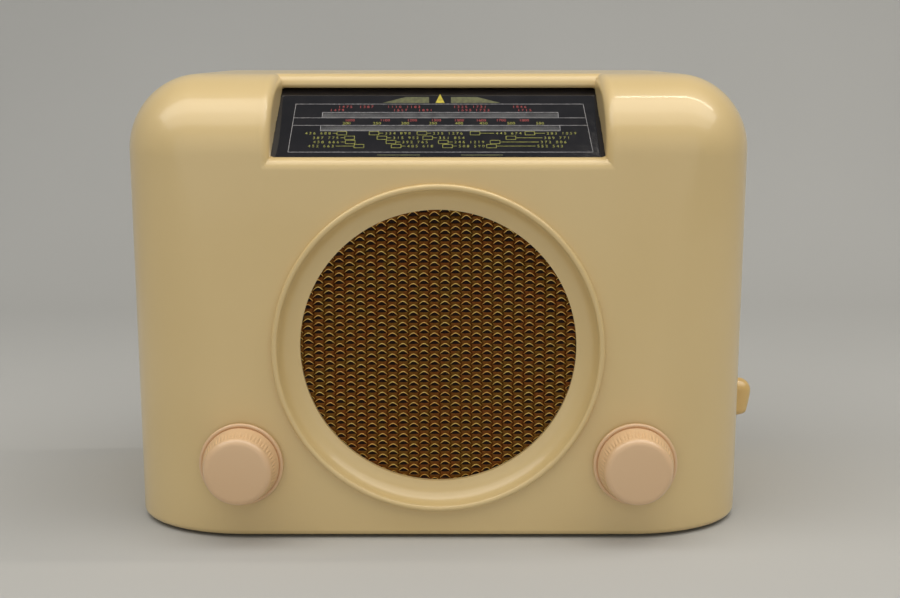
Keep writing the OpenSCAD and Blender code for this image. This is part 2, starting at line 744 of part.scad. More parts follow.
module wave_switch() color("#a67c46") in_frame() {
    difference() {
        union() {
            block([switch_x - 1.5, lever_y - 14, deck_top], [switch_x, lever_y + 14, lever_z + 12]);
            block([switch_x - 1.5, lever_y - 14, deck_top], [switch_x + 6, lever_y + 14, deck_top + 1.5]);
            rod_x(switch_x, switch_x + 7, lever_y, lever_z, 5);
            for (x = wafer_x) rod_x(x, x + 1.6, lever_y, lever_z, wafer_r);
            for (s = [-1, 1]) rod_x(wafer_x[0] - 1, switch_x - 1, lever_y + s * 11, lever_z + 2, 1.5);
        }
        rod_x(wafer_x[0] - 3, switch_x + 9, lever_y, lever_z, spindle_r + running);
    }
}

module wave_spindle() color("#c9cacb") in_frame()
    rod_x(wafer_x[0] - 2, case_w / 2 + lever_gap + 6, lever_y, lever_z, spindle_r);

lever_lean = 15;
hub_r = 7;

// Lever seen from the side: round hub with a tapered tail
module lever_side()
    union() {
        circle(hub_r);
        polygon([[-6.6, -2.4], [-4, -lever_tail], [4, -lever_tail], [6.6, -2.4]]);
    }

// Lever seen from the front: a round crown over a tail that thins downwards
module lever_edge() {
    crown = lever_out - lever_gap - hub_r;
    translate([crown, 0]) circle(hub_r);
    translate([0, -1]) square([crown, hub_r + 1]);
    polygon([
        [0, -lever_tail], [lever_out - lever_gap - 3.1, -lever_tail], [lever_out - lever_gap - 0.05, -1],
        [lever_out - lever_gap, 0], [0, 0]
    ]);
}

module wave_lever() color("#d8b878") in_frame()
    translate([case_w / 2 + lever_gap, lever_y, lever_z]) rotate([-lever_lean, 0, 0])
        difference() {
            intersection() {
                rotate([90, 0, 90]) linear_extrude(lever_out - lever_gap) lever_side();
                translate([0, 10, 0]) rotate([90, 0, 0]) linear_extrude(20) lever_edge();
            }
            rotate([0, 90, 0]) translate([0, 0, -1]) cylinder(h = 7.1, r = spindle_r + 0.02);
        }

// Aerial and oscillator coils: formers with two windings each, in a row beside the switch
former_h = 28;
former_pitch = 18;

module coil_pack() color("#b58a5a") in_frame()
    for (k = [-1:1])
        translate([wafer_x[0] - 16, lever_y - 4 + former_pitch * k, deck_top]) {
            cylinder(h = former_h, r = 4);
            for (z = [8, 17]) translate([0, 0, z]) cylinder(h = 5, r = 6.2);
        }

// Chassis

// Plan of the deck: a bar behind the loudspeaker with a wing at each side
module deck_plan(inset)
    difference() {
        translate([-chassis_x + inset, wing_y + inset])
            square([2 * (chassis_x - inset), chassis_back - wing_y - 2 * inset]);
        translate([-chassis_x + wing_w - inset, wing_y - 1])
            square([2 * (chassis_x - wing_w + inset), main_y - wing_y + 1 + inset]);
    }

module chassis() color("#a8aaa8") in_frame()
    difference() {
        union() {
            difference() {
                translate([0, 0, chassis_z]) linear_extrude(deck_top - chassis_z) deck_plan(0);
                translate([0, 0, chassis_z + sheet]) linear_extrude(deck_top - chassis_z - 2 * sheet) deck_plan(sheet);
            }
            // ear that carries the rear end of the tuning spindle
            block([knob_x - 8, spindle_end - 1.5, knob_z - 7], [knob_x + 8, spindle_end, deck_top - sheet / 2]);
        }
        rod_y(knob_x, knob_z, spindle_r + running, spindle_end - 3, spindle_end + 1);
        translate([0, 0, chassis_z - 1]) linear_extrude(sheet + 2) deck_plan(22);
        translate([0, 0, chassis_z - 1]) linear_extrude(sheet + 2)
            for (side = [-1, 1])
                translate([side * (chassis_x - wing_w / 2) - 20, wing_y + 14]) square([40, main_y - wing_y]);
        rod_y(knob_x, knob_z, 5, wing_y - 1, wing_y + sheet + 1);
        rod_y(-knob_x, knob_z, 4.8, wing_y - 1, wing_y + sheet + 1);
        // slots that let the drive cord down to the tuning spindle and out to the drum
        block([pulley_x - 8, cord_y - 3, deck_top - 2], [knob_x + 10, cord_y + 3, deck_top + 1]);
        block(
            [chassis_x - wing_w - 1, cord_y - 3, knob_z - 8],
            [chassis_x - wing_w + sheet + 1, cord_y + 3, deck_top + 1]
        );
        // slot for the wave-change switch
        block(
            [wafer_x[0] - 2, lever_y - wafer_r - 1, deck_top - 2],
            [wafer_x[1] + 4, lever_y + wafer_r + 1, deck_top + 1]
        );
        for (side = [-1, 1], y = chassis_screw_y)
            translate([side * chassis_screw_x, y, chassis_z - 1]) cylinder(h = sheet + 2, r = 2.2);
        for (p = valve_places) translate([p[0], main_y + p[1], deck_top - 2]) cylinder(h = 3, r = 9);
    }

module chassis_screws() color("#b8b8b4") in_frame()
    for (side = [-1, 1], y = chassis_screw_y)
        translate([side * chassis_screw_x, y, foot_h + 0.6])
            difference() {
                union() {
                    cylinder(h = 2, r = 4);
                    cylinder(h = chassis_z - foot_h + 3, r = 2);
                }
                translate([-5, -0.5, -0.1]) cube([10, 1, 1.1]);
            }

module valve_sockets() color("#3a2c22") in_frame()
    for (p = valve_places)
        translate([p[0], main_y + p[1], 0]) {
            translate([0, 0, deck_top - 9]) cylinder(h = 9, r = 8.8);
            translate([0, 0, deck_top]) cylinder(h = 1.4, r = 13);
            translate([0, 0, deck_top + 1.4]) cylinder(h = socket_h - 1.4, r = 10.8);
        }

// Valve: a glass tube with a round top and a seal tip, on a metal-ringed base
module valve(k) color("#cfd6d4") in_frame() {
    h = valve_heights[k];
    translate([valve_places[k][0], main_y + valve_places[k][1], deck_top + socket_h]) rotate_extrude() {
        difference() {
            union() {
                square([valve_r, h - valve_r]);
                translate([0, h - valve_r]) circle(valve_r);
                translate([0, h - 1]) square([1.6, 4]);
            }
            translate([-40, -20]) square([40, 100]);
        }
    }
}

module mixer_valve() valve(0);
module amplifier_valve() valve(1);
module detector_valve() valve(2);
module output_valve() valve(3);
module rectifier_valve() valve(4);

module transformer_can(k) color("#c8cacb") in_frame()
    translate([can_places[k][0], main_y + can_places[k][1], deck_top])
        difference() {
            union() {
                linear_extrude(can_h) offset(r = 3, $fn = 16) square(can_side - 6, center = true);
                translate([0, 0, can_h]) cylinder(h = 1, r = 7);
            }
            translate([0, 0, can_h - 3]) cylinder(h = 5, r = 3);
        }

module transformer_can_1() transformer_can(0);
module transformer_can_2() transformer_can(1);

// Tuning capacitor

gang_y = main_y + 1;
gang_len = 46;
vane_pitch = 3;
vane_t = 0.8;
gang_half = vanes * vane_pitch + 1;
gang_half_y = [gang_y + 4, gang_y + gang_len - 4 - gang_half];
gang_side = vane_r + 5;

module gang_frame() color("#b0b2b2") in_frame() {
    bottom = gang_z - gang_side;
    difference() {
        union() {
            for (y = [gang_y, gang_y + gang_len - 2])
                block([gang_x - gang_side, y, bottom], [gang_x + gang_side, y + 2, gang_z + gang_side - 4]);
            block([gang_x - gang_side, gang_y, bottom], [gang_x + gang_side, gang_y + gang_len, bottom + 2]);
        }
        rod_y(gang_x, gang_z, 4 + running, gang_y - 1, gang_y + gang_len + 1);
    }
    for (x = [-18, 18], y = [8, gang_len - 8])
        translate([gang_x + x, gang_y + y, deck_top]) cylinder(h = bottom - deck_top + 0.5, r = 4);
}

// Fixed vanes stand on two bars at the left of the shaft
module gang_stator() color("#d0d2d2") in_frame() {
    for (half = gang_half_y, k = [0:vanes])
        deep(half + k * vane_pitch, half + k * vane_pitch + vane_t)
            difference() {
                translate([gang_x - vane_r - 2, gang_z - vane_r - 1]) square([vane_r + 1, 2 * vane_r + 2]);
                translate([gang_x, gang_z]) circle(6);
            }
    for (z = [gang_z - vane_r, gang_z + vane_r])
        rod_y(gang_x - vane_r, z, 1.2, gang_y + 2, gang_y + gang_len - 2);
}

// Rotor: a shaft with half-round vanes, meshed with the fixed ones at rest
module gang_rotor() color("#dcdddd") in_frame() {
    turned_y(gang_x, gang_z)
        polygon([
            [0, cord_y - 4], [spindle_r, cord_y - 4], [spindle_r, gang_y - 2], [4, gang_y - 2],
            [4, gang_y + gang_len + 2], [0, gang_y + gang_len + 2]
        ]);
    for (half = gang_half_y, k = [0:vanes - 1])
        deep(half + (k + 0.5) * vane_pitch, half + (k + 0.5) * vane_pitch + vane_t)
            difference() {
                translate([gang_x, gang_z]) circle(vane_r);
                translate([gang_x + 3, gang_z - vane_r - 1]) square([vane_r, 2 * vane_r + 2]);
                translate([gang_x, gang_z]) circle(3.9);
            }
}

// Drum with a grooved rim, open web and a boss on the shaft, and two pegs that stretch the cord's spring
module drive_drum() color("#c7c9c4") in_frame() {
    for (s = [-1, 1])
        rod_y(gang_x + spring_x + coil_r, gang_z + s * (spring_half + wire_r + running + 1), 1, cord_y - 5, cord_y - 0.7);
    difference() {
        turned_y(gang_x, gang_z)
            polygon([
                [spindle_r + 0.02, cord_y - 3], [8, cord_y - 3], [8, cord_y - 0.8], [drum_r - 4, cord_y - 0.8],
                [drum_r - 4, cord_y - 2], [drum_r + 1.4, cord_y - 2], [drum_r - cord_r - gap, cord_y - 1.5],
                [drum_r - cord_r - gap, cord_y + 1.5], [drum_r + 1.4, cord_y + 2], [drum_r - 4, cord_y + 2],
                [drum_r - 4, cord_y + 0.8], [8, cord_y + 0.8], [8, cord_y + 3], [spindle_r + 0.02, cord_y + 3]
            ]);
        for (a = [30:120:270])
            translate([gang_x, 0, gang_z]) rotate([0, a, 0]) rod_y(20, 0, 7.5, cord_y - 2, cord_y + 2);
    }
}

spring_turns = 10;
spring_x = 27;
spring_half = 8;
coil_r = 1.6;
wire_r = 0.35;
spring_y = cord_y - 0.8 - wire_r - coil_r - running;
spring_path = [
    for (i = [0:8 * spring_turns])
        [
            gang_x + spring_x + coil_r * cos(45 * i), spring_y + coil_r * sin(45 * i),
            gang_z - spring_half + 2 * spring_half * i / (8 * spring_turns)
        ]
];

module cord_spring() color("#d6d7d8") in_frame() tube(spring_path, wire_r, 6);

module smoothing_capacitor() color("#c6c8ca") in_frame()
    translate([smoother_place[0], main_y + smoother_place[1], deck_top])
        rotate_extrude()
            polygon([
                [0, 0], [15, 0], [15, 70], [14, 71], [12.5, 71], [12, 70], [0, 70]
            ]);

module capacitor_clip() color("#9fa1a1") in_frame()
    translate([smoother_place[0], main_y + smoother_place[1], deck_top])
        difference() {
            union() {
                cylinder(h = 14, r = 16);
                translate([-22, -5, 0]) cube([44, 10, 1.4]);
            }
            translate([0, 0, -1]) cylinder(h = 16, r = 15.02);
        }

module mains_dropper() color("#8c7b66") in_frame()
    translate([dropper_place[0], main_y + dropper_place[1], deck_top])
        difference() {
            rotate_extrude()
                polygon([
                    [4, 0], [9, 0], [9, 3], [7, 3], [7, 6], [9.5, 6], [9.5, 28], [8.6, 28], [8.6, 31], [9.5, 31],
                    [9.5, 54], [8.6, 54], [8.6, 57], [9.5, 57], [9.5, 78], [7, 78], [7, 84], [4, 84]
                ]);
            translate([0, 0, -1]) cylinder(h = 3, r = 5);
        }

lamp_x = 42;
lamp_s = glass_len * 0.5;
lamp_depth = plate_depth + 1;

// Axis square to the dial plate, pointing away from the glass
module on_dial(x, s, depth)
    translate([x, dial_point(s, depth)[0], dial_point(s, depth)[1]]) rotate([180 + slope, 0, 0]) children();

module lamp_holders() color("#b9bbbb") in_frame()
    for (side = [-1, 1])
        on_dial(side * lamp_x, lamp_s, lamp_depth + 0.05)
            difference() {
                cylinder(h = 9, r = 6);
                translate([0, 0, -1]) cylinder(h = 8, r = 5);
            }

module dial_lamps() color("#f0e6c0") in_frame()
    for (side = [-1, 1])
        on_dial(side * lamp_x, lamp_s, lamp_depth + 0.05) {
            translate([0, 0, 0.6]) sphere(r = bulb_r);
            cylinder(h = 7, r = 4);
        }

// Under the deck

// Two boards stand on the chassis flanges, and the small parts span them on their leads
strip_y = [main_y + 12, chassis_back - 16];
strip_z = chassis_z + sheet;
tag_pitch = 14;
tag_count = 9;
function tag_x(k) = (k - (tag_count - 1) / 2) * tag_pitch;

module tag_strips() color("#7a5a34") in_frame()
    for (y = strip_y) {
        block([tag_x(0) - 6, y - 0.8, strip_z], [tag_x(tag_count - 1) + 6, y + 0.8, strip_z + 9]);
        for (k = [0:tag_count - 1]) block([tag_x(k) - 1, y - 0.5, strip_z + 8], [tag_x(k) + 1, y + 0.5, strip_z + 14]);
    }

// Round body held by its leads between the tags numbered k
module wired_part(k, r, len) {
    mid = (strip_y[0] + strip_y[1]) / 2;
    rod_y(tag_x(k), strip_z + 12, r, mid - len / 2, mid + len / 2);
    rod_y(tag_x(k), strip_z + 12, 0.5, strip_y[0] + 0.5, strip_y[1] - 0.5);
}

module paper_capacitors() color("#c9a24c") in_frame() for (k = [0:2:tag_count - 1]) wired_part(k, 6, 22);

module resistors() color("#5c4630") in_frame() for (k = [1:2:tag_count - 1]) wired_part(k, 2.6, 14);

// Rear

loop_side = 6;

// Rear outline of the case's inside, drawn in by an inset
module rear_outline(inset) {
    drawn_in = wall + inset;
    hull()
        for (side = [-1, 1]) {
            translate([side * (case_w / 2 - corner_x), case_top - corner_z])
                scale([corner_x - drawn_in, corner_z - drawn_in]) circle(1, $fn = hull_fn);
            translate([side * (case_w / 2 - drawn_in - edge_round(drawn_in)), foot_h + drawn_in + edge_round(drawn_in)])
                circle(edge_round(drawn_in), $fn = hull_fn);
        }
}

// Aerial wound on the back cover, between the sockets and the shoulder
loop_inset = 40.5;
loop_z = [78, case_top - 57.3];
loop_t = 5;

module aerial_frame() color("#b87a3c") in_frame()
    deep(back_y - loop_t, back_y) square_ring(inner_x - loop_inset, loop_z[0], loop_z[1]);

// Rounded rectangular loop between two heights
module square_ring(half, z0, z1)
    difference() {
        translate([-half, z0]) square([2 * half, z1 - z0]);
        translate([-half + loop_side, z0 + loop_side]) square([2 * (half - loop_side), z1 - z0 - 2 * loop_side]);
    }

module socket_strip() color("#4a3524") in_frame()
    difference() {
        block([socket_x - 22, chassis_back, socket_z - 9], [socket_x + 22, back_y + back_t, socket_z + 9]);
        for (side = [-1, 1]) rod_y(socket_x + 9.5 * side, socket_z, socket_r, chassis_back + 2, back_y + back_t + 1);
    }

slot_l = 30;
slot_h = 4;

module vent(x, z)
    translate([x, z]) {
        square([slot_l - slot_h, slot_h], center = true);
        for (s = [-1, 1]) translate([s * (slot_l - slot_h) / 2, 0]) circle(slot_h / 2);
    }

module back_cover() color("#6b4a2e") in_frame()
    difference() {
        deep(back_y, back_y + back_t) rear_outline(0.6);
        deep(back_y - 1, back_y + back_t + 1) {
            for (i = [-2:2], j = [0:3]) vent(i * 44, 92 + 20 * j);
            for (i = [-1:1]) vent(i * 44, 62);
        }
        block([socket_x - 22.4, back_y - 1, socket_z - 9.4], [socket_x + 22.4, case_d + 1, socket_z + 9.4]);
        rod_y(cable_x, cable_z, 6, back_y - 1, case_d + 1);
        for (side = [-1, 1], z = back_screw_z) rod_y(side * back_screw_x, z, 2, back_y - 1, case_d + 1);
    }

module back_screws() color("#b89a58") in_frame()
    for (side = [-1, 1], z = back_screw_z)
        translate([side * back_screw_x, 0, z]) {
            rod_y(0, 0, 1.5, back_y - 10, back_y + back_t);
            translate([0, back_y + back_t, 0]) rotate([-90, 0, 0])
                difference() {
                    cylinder(h = 1.8, r = 3.6);
                    translate([-4, -0.4, 0.9]) cube([8, 0.8, 2]);
                }
        }

module mains_grommet() color("#262422") in_frame()
    turned_y(cable_x, cable_z)
        polygon([
            [3.6, back_y - 2], [8, back_y - 2], [8, back_y - 0.05], [5.95, back_y - 0.05],
            [5.95, back_y + back_t + 0.05], [8, back_y + back_t + 0.05], [8, back_y + back_t + 1.8],
            [3.6, back_y + back_t + 1.8]
        ]);

cabinet();
feet();
speaker_grille();
grille_cloth();
baffle_board();
speaker_frame();
speaker_cone();
speaker_magnet();
speaker_screws();
output_transformer();
dial_glass();
glass_clips();
dial_backplate();
dial_frame();
pointer_rail();
pointer();
drive_cord();
pulley_left();
pulley_right();
tuning_spindle();
tuning_bush();
tuning_knob();
tuning_grub_screw();
volume_control();
volume_nut();
volume_spindle();
volume_knob();
volume_grub_screw();
wave_switch();
wave_spindle();
wave_lever();
coil_pack();
chassis();
chassis_screws();
valve_sockets();
mixer_valve();
amplifier_valve();
detector_valve();
output_valve();
rectifier_valve();
transformer_can_1();
transformer_can_2();
gang_frame();
gang_stator();
gang_rotor();
drive_drum();
cord_spring();
smoothing_capacitor();
capacitor_clip();
mains_dropper();
dial_lamps();
lamp_holders();
tag_strips();
paper_capacitors();
resistors();
aerial_frame();
socket_strip();
back_cover();
back_screws();
mains_grommet();
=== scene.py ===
# %% [markdown]
# A table radio of the valve era: a cream moulded case with a sloping dial, a round loudspeaker grille,
# two fluted knobs and a small lever on the right side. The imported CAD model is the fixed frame. This
# lesson gives every part of it a real finish, and makes the curved outer pieces again as smooth surfaces.

# %% Load the frame
import math

import bmesh
import bpy
import numpy as np
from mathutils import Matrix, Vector


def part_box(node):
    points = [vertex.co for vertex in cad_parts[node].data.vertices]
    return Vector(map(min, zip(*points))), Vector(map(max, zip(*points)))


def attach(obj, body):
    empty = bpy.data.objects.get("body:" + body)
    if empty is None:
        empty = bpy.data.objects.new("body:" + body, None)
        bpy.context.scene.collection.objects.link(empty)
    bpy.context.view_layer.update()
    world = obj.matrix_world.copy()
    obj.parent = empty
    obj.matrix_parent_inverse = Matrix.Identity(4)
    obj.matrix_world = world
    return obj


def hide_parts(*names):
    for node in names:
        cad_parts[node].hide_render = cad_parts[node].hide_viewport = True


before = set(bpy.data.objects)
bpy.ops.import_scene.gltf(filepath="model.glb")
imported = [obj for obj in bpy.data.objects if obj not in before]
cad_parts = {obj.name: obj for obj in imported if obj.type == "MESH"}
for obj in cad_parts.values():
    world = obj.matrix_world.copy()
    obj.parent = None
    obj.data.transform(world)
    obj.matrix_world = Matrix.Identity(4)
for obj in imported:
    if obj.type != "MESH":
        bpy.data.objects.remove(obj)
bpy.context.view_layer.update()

# %% [markdown]
# Sizes are written in millimetres in "case coordinates": x from the middle of the case, y back from the
# flat of the front, z up from the table. The object's own origin lies under the middle of its footprint,
# so one shift turns case coordinates into the frame. It is worked out from the box of one CAD node.

# %% Case coordinates
CASE_W, CASE_D, CASE_TOP, FOOT_H, WALL = 312.0, 171.0, 229.3, 1.5, 3.5
case_low, case_high = (np.array(corner) * 1000 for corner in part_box("cabinet"))
SHIFT = np.array([(case_low[0] + case_high[0]) / 2, case_high[1] - CASE_D, 0.0])
print("case middle and front in the frame, mm", SHIFT.round(3))


def to_frame(points):
    """Case millimetres to metres in the frame: add the shift, divide by a thousand."""
    return (np.asarray(points, float) + SHIFT) / 1000


def placed(name, data):
    """A new object of the scene from its data."""
    shape = bpy.data.objects.new(name, data)
    bpy.context.scene.collection.objects.link(shape)
    return shape


# %% [markdown]
# The camera comes first. In the photograph the upright edges stay parallel and both sides of the case
# show alike, so the camera stood in front, a little above the case and tipped down by some ten degrees.
# A pinhole camera fitted to the case, the ring and the knobs gave its place and a 58 mm lens.

# %% Camera
CAMERA_AT, CAMERA_TIP, LENS_MM, FILM_MM = (5.8, -695.3, 241.1), 9.75, 58.0, 36.0
camera_data = bpy.data.cameras.new("camera")
camera_data.sensor_width, camera_data.lens = FILM_MM, LENS_MM
camera = placed("camera", camera_data)
camera.location = to_frame(CAMERA_AT)
camera.rotation_euler = (math.radians(90 - CAMERA_TIP), 0, 0)
bpy.context.scene.camera = camera
bpy.context.scene.view_settings.view_transform = "Standard"

# %% [markdown]
# Materials are small node trees. One function adds a node with its settings, constants and links, and one
# turns the usual sRGB hex colour into the linear numbers that shaders work with. A finish starts from a
# name, a colour and the plain values of the real surface. Its methods do what most finishes need: noise and
# bands of a size in millimetres, a colour between two tones, an uneven gloss, a relief. What they pass to
# each other is always a source: a node with the name or the number of its output.

# %% Material helpers
# Sockets of the Mix node in colour mode share their names, so they are reached by number
FACTOR, LOW, HIGH, MIXED = 0, 6, 7, 2


def linear(hex_colour):
    """sRGB hex to linear RGBA: c/12.92 below 0.04045, otherwise ((c + 0.055) / 1.055) ** 2.4."""
    values = [int(hex_colour[i : i + 2], 16) / 255 for i in (1, 3, 5)]
    return tuple(c / 12.92 if c <= 0.04045 else ((c + 0.055) / 1.055) ** 2.4 for c in values) + (1.0,)


def add(tree, kind, links=None, inputs=None, **settings):
    """Adds a node. Links (to sources) and inputs (constants) are keyed by a socket's name or number."""
    node = tree.nodes.new("ShaderNode" + kind)
    for key, value in settings.items():
        setattr(node, key, value)
    for key, value in (inputs or {}).items():
        node.inputs[key].default_value = value
    for key, (source, output) in (links or {}).items():
        tree.links.new(source.outputs[output], node.inputs[key])
    return node


class Finish:
    """A material with its node tree, its shader and its Object coordinates."""

    def __init__(self, name, base, roughness, metallic=0.0, **sockets):
        self.material = bpy.data.materials.new(name)
        self.material.use_nodes = True
        self.tree = self.material.node_tree
        self.shader = self.tree.nodes["Principled BSDF"]
        constants = {"Base Color": linear(base), "Roughness": roughness, "Metallic": metallic}
        constants.update({key.replace("_", " "): value for key, value in sockets.items()})
        for key, value in constants.items():
            self.shader.inputs[key].default_value = value
        self.place = (add(self.tree, "TexCoord"), "Object")

    def feed(self, socket, source):
        """Links a source to a socket of the shader."""
        self.tree.links.new(source[0].outputs[source[1]], self.shader.inputs[socket])

    def speckle(self, size_mm, detail, stretch=(1.0, 1.0, 1.0)):
        """Noise whose features are size_mm across, stretched along an axis by less than 1."""
        mapping = add(self.tree, "Mapping", {"Vector": self.place}, {"Scale": stretch})
        inputs = {"Scale": 1000 / size_mm, "Detail": detail}
        return add(self.tree, "TexNoise", {"Vector": (mapping, 0)}, inputs), 0

    def cells(self, size_mm, output, **settings):
        """Voronoi cells about size_mm across."""
        inputs = {"Scale": 1000 / size_mm}
        return add(self.tree, "TexVoronoi", {"Vector": self.place}, inputs, **settings), output

    def bands(self, radian_mm, direction, distortion=0.0):
        """Wave bands: the sine of 20 x scale x place, so that they repeat every 2 pi x radian_mm."""
        inputs = {"Scale": 1000 / radian_mm / 20, "Distortion": distortion}
        return add(self.tree, "TexWave", {"Vector": self.place}, inputs, bands_direction=direction), "Fac"

    def calc(self, operation, *terms):
        """Arithmetic on numbers and sources."""
        links = {k: term for k, term in enumerate(terms) if isinstance(term, tuple)}
        numbers = {k: term for k, term in enumerate(terms) if not isinstance(term, tuple)}
        return add(self.tree, "Math", links, numbers, operation=operation), 0

    def along(self, axis):
        """The coordinate along an axis, in metres."""
        return add(self.tree, "SeparateXYZ", {0: self.place}), axis

    def off_middle(self, axis, box):
        """How far a point lies from the middle of a box along an axis, in metres."""
        middle = (box[0][axis] + box[1][axis]) / 2
        return self.calc("ABSOLUTE", self.calc("SUBTRACT", self.along(axis), middle))

    def waves(self, metres, pitch_mm):
        """The sine of a length that repeats every pitch_mm."""
        return self.calc("SINE", self.calc("MULTIPLY", metres, 2000 * math.pi / pitch_mm))

    def remap(self, source, start, stop, low=0.0, high=1.0, **settings):
        """The range from start to stop moved to the one from low to high, and held at its ends."""
        inputs = {"From Min": start, "From Max": stop, "To Min": low, "To Max": high}
        return add(self.tree, "MapRange", {"Value": source}, inputs, **settings), 0

    def blend(self, factor, low, high):
        """A colour between two, each a hex colour or a source."""
        ends = {LOW: low, HIGH: high}
        links = {key: end for key, end in ends.items() if isinstance(end, tuple)}
        inputs = {key: linear(end) for key, end in ends.items() if isinstance(end, str)}
        return add(self.tree, "Mix", {FACTOR: factor, **links}, inputs, data_type="RGBA"), MIXED

    def tint(self, source, low, high, start=0.35, stop=0.65):
        """Base colour between two tones, as the source goes from start to stop."""
        colour = self.blend(self.remap(source, start, stop), low, high)
        self.feed("Base Color", colour)
        return colour

    def vary_gloss(self, source, low, high):
        """Roughness between two values by a noise."""
        self.feed("Roughness", self.remap(source, 0.3, 0.7, low, high))

    def relief(self, source, depth_mm, strength):
        """Bump of a real depth in millimetres from a height between 0 and 1."""
        inputs = {"Strength": strength, "Distance": depth_mm / 1000}
        self.feed("Normal", (add(self.tree, "Bump", {"Height": source}, inputs), 0))


def mottled(name, base, roughness, tones, patch, grain=None, **sockets):
    """A finish whose colour wanders between two tones, and its relief.

    Patch holds the size and detail of the colour's noise; grain holds those of the relief's noise with its
    depth and strength.
    """
    made = Finish(name, base, roughness, **sockets)
    made.tint(made.speckle(*patch), *tones)
    if grain:
        noise, depth_mm, strength = grain
        made.relief(made.speckle(*noise), depth_mm, strength)
    return made


# %% [markdown]
# The case is urea plastic, pressed hot in a polished steel mould and cream all through. It has aged: the
# colour drifts slowly over each side, the gloss is a little uneven, and there are a few small knocks near
# the right-hand edge. The knobs are the same plastic from a pinker batch, the lever a yellower one.

# %% Moulded urea plastics
# Places and radii of the knocks, how deep they go against the plastic's own waviness, and the darker colour
# painted in them
KNOCKS = [(142.5, 15, 196, 0.9), (136.5, 9, 171, 1.2), (137.5, 9, 150, 0.8), (-124.5, 24, 222, 0.7)]
KNOCK_DEPTH, KNOCK_DARK = -6.0, "#7d6540"


def moulded_plastic(name, low, high, gloss, knocks=()):
    """Polished thermoset: slow colour drift, slightly uneven gloss, and small knocks at given places."""
    plastic = Finish(name, low, gloss, IOR=1.56, Coat_Weight=0.6, Coat_Roughness=0.1)
    colour = plastic.tint(plastic.speckle(70, 1), low, high, 0.25, 0.75)
    plastic.vary_gloss(plastic.speckle(16, 2), gloss - 0.015, gloss + 0.015)
    height = plastic.speckle(24, 0)
    for x, y, z, radius in knocks:
        middle = {1: tuple(to_frame((x, y, z)))}
        away = add(plastic.tree, "VectorMath", {0: plastic.place}, middle, operation="DISTANCE")
        spot = plastic.remap((away, "Value"), 0.0, radius / 1000, 1.0, 0.0, interpolation_type="SMOOTHSTEP")
        # Each knock's colour is painted darker towards its middle
        colour = plastic.blend(spot, colour, KNOCK_DARK)
        height = plastic.calc("ADD", height, plastic.calc("MULTIPLY", spot, KNOCK_DEPTH))
    plastic.feed("Base Color", colour)
    plastic.relief(height, 0.012, 0.3)
    return plastic


cream_urea = moulded_plastic("moulded_cream_urea", "#dec287", "#e2c78e", 0.36, KNOCKS)
knob_urea = moulded_plastic("moulded_pink_cream_urea", "#e0b98c", "#e4bf94", 0.38)
lever_urea = moulded_plastic("moulded_amber_urea", "#dab46a", "#dfbb75", 0.32)

# %% [markdown]
# A piece's mesh is made from arrays: points in case millimetres and faces as rows of point numbers. Every
# piece ends as an object at the origin with its place in its mesh, rides on a CAD body and stands for the
# CAD nodes that it replaces.


# %% Mesh helpers
def meshed(name, points, faces, finish=None):
    """An object from points in case millimetres and faces as rows of indices."""
    mesh = bpy.data.meshes.new(name)
    mesh.from_pydata(to_frame(points).tolist(), [], np.asarray(faces).tolist())
    if finish:
        mesh.materials.append(finish.material)
    return placed(name, mesh)


def piece(name, points, faces, finish, body, slot, replaced, smooth=True, merge=True, weights=None):
    """A finished piece: its mesh, its body and the CAD nodes that it stands for. Its slot is not used.

    Weights are values that its points carry for the finish, by name.
    """
    shape = meshed(name, points, faces, finish)
    mesh = shape.data
    for key, values in (weights or {}).items():
        mesh.attributes.new(key, "FLOAT", "POINT").data.foreach_set("value", np.ravel(values))
    join_seams(mesh, merge)
    mesh.polygons.foreach_set("use_smooth", np.full(len(mesh.polygons), smooth))
    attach(shape, body)
    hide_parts(*replaced)
    return shape


def join_seams(mesh, merge=True):
    """Merges points that coincide, such as a seam or a pole, and turns the faces outwards."""
    work = bmesh.new()
    work.from_mesh(mesh)
    if merge:
        bmesh.ops.remove_doubles(work, verts=work.verts, dist=1e-6)
    bmesh.ops.recalc_face_normals(work, faces=work.faces)
    work.to_mesh(mesh)
    work.free()


def sharpen(shape, degrees):
    """Keeps edges sharper than an angle crisp under smooth shading."""
    shape.data.set_sharp_from_angle(angle=math.radians(degrees))


def fetch(items, key, width=1, kind=float):
    """One value of every item as an array, in rows if it has several numbers."""
    values = np.zeros(len(items) * width, kind)
    items.foreach_get(key, values)
    return values.reshape(-1, width) if width > 1 else values


def grid_faces(rows, columns, close_rows=False, close_columns=False):
    """Quads of a grid of points stored row by row, joined round where it closes."""
    row = np.arange(rows if close_rows else rows - 1)[:, None]
    column = np.arange(columns if close_columns else columns - 1)[None, :]
    below, beside = (row + 1) % rows, (column + 1) % columns
    here, under = row * columns, below * columns
    corners = [here + column, here + beside, under + beside, under + column]
    return np.stack(np.broadcast_arrays(*corners), axis=-1).reshape(-1, 4)


def turned(outline, x, z, steps, closed=True):
    """Surface of revolution about an axis along y: (x + r cos a, y, z + r sin a) for each (r, y)."""
    radius, depth = np.asarray(outline, float).T
    angle = np.linspace(0, 2 * math.pi, steps, endpoint=False)
    across, up = x + np.outer(radius, np.cos(angle)), z + np.outer(radius, np.sin(angle))
    points = np.stack([across, np.repeat(depth[:, None], steps, axis=1), up], axis=-1)
    return points.reshape(-1, 3), grid_faces(len(radius), steps, close_rows=closed, close_columns=True)


def arc(centre, radius, start, stop, steps):
    """Points on an arc in the plane: centre + radius (cos a, sin a), with the angles in degrees."""
    angle = np.radians(np.linspace(start, stop, steps + 1))
    return np.stack([centre[0] + radius * np.cos(angle), centre[1] + radius * np.sin(angle)], axis=-1)


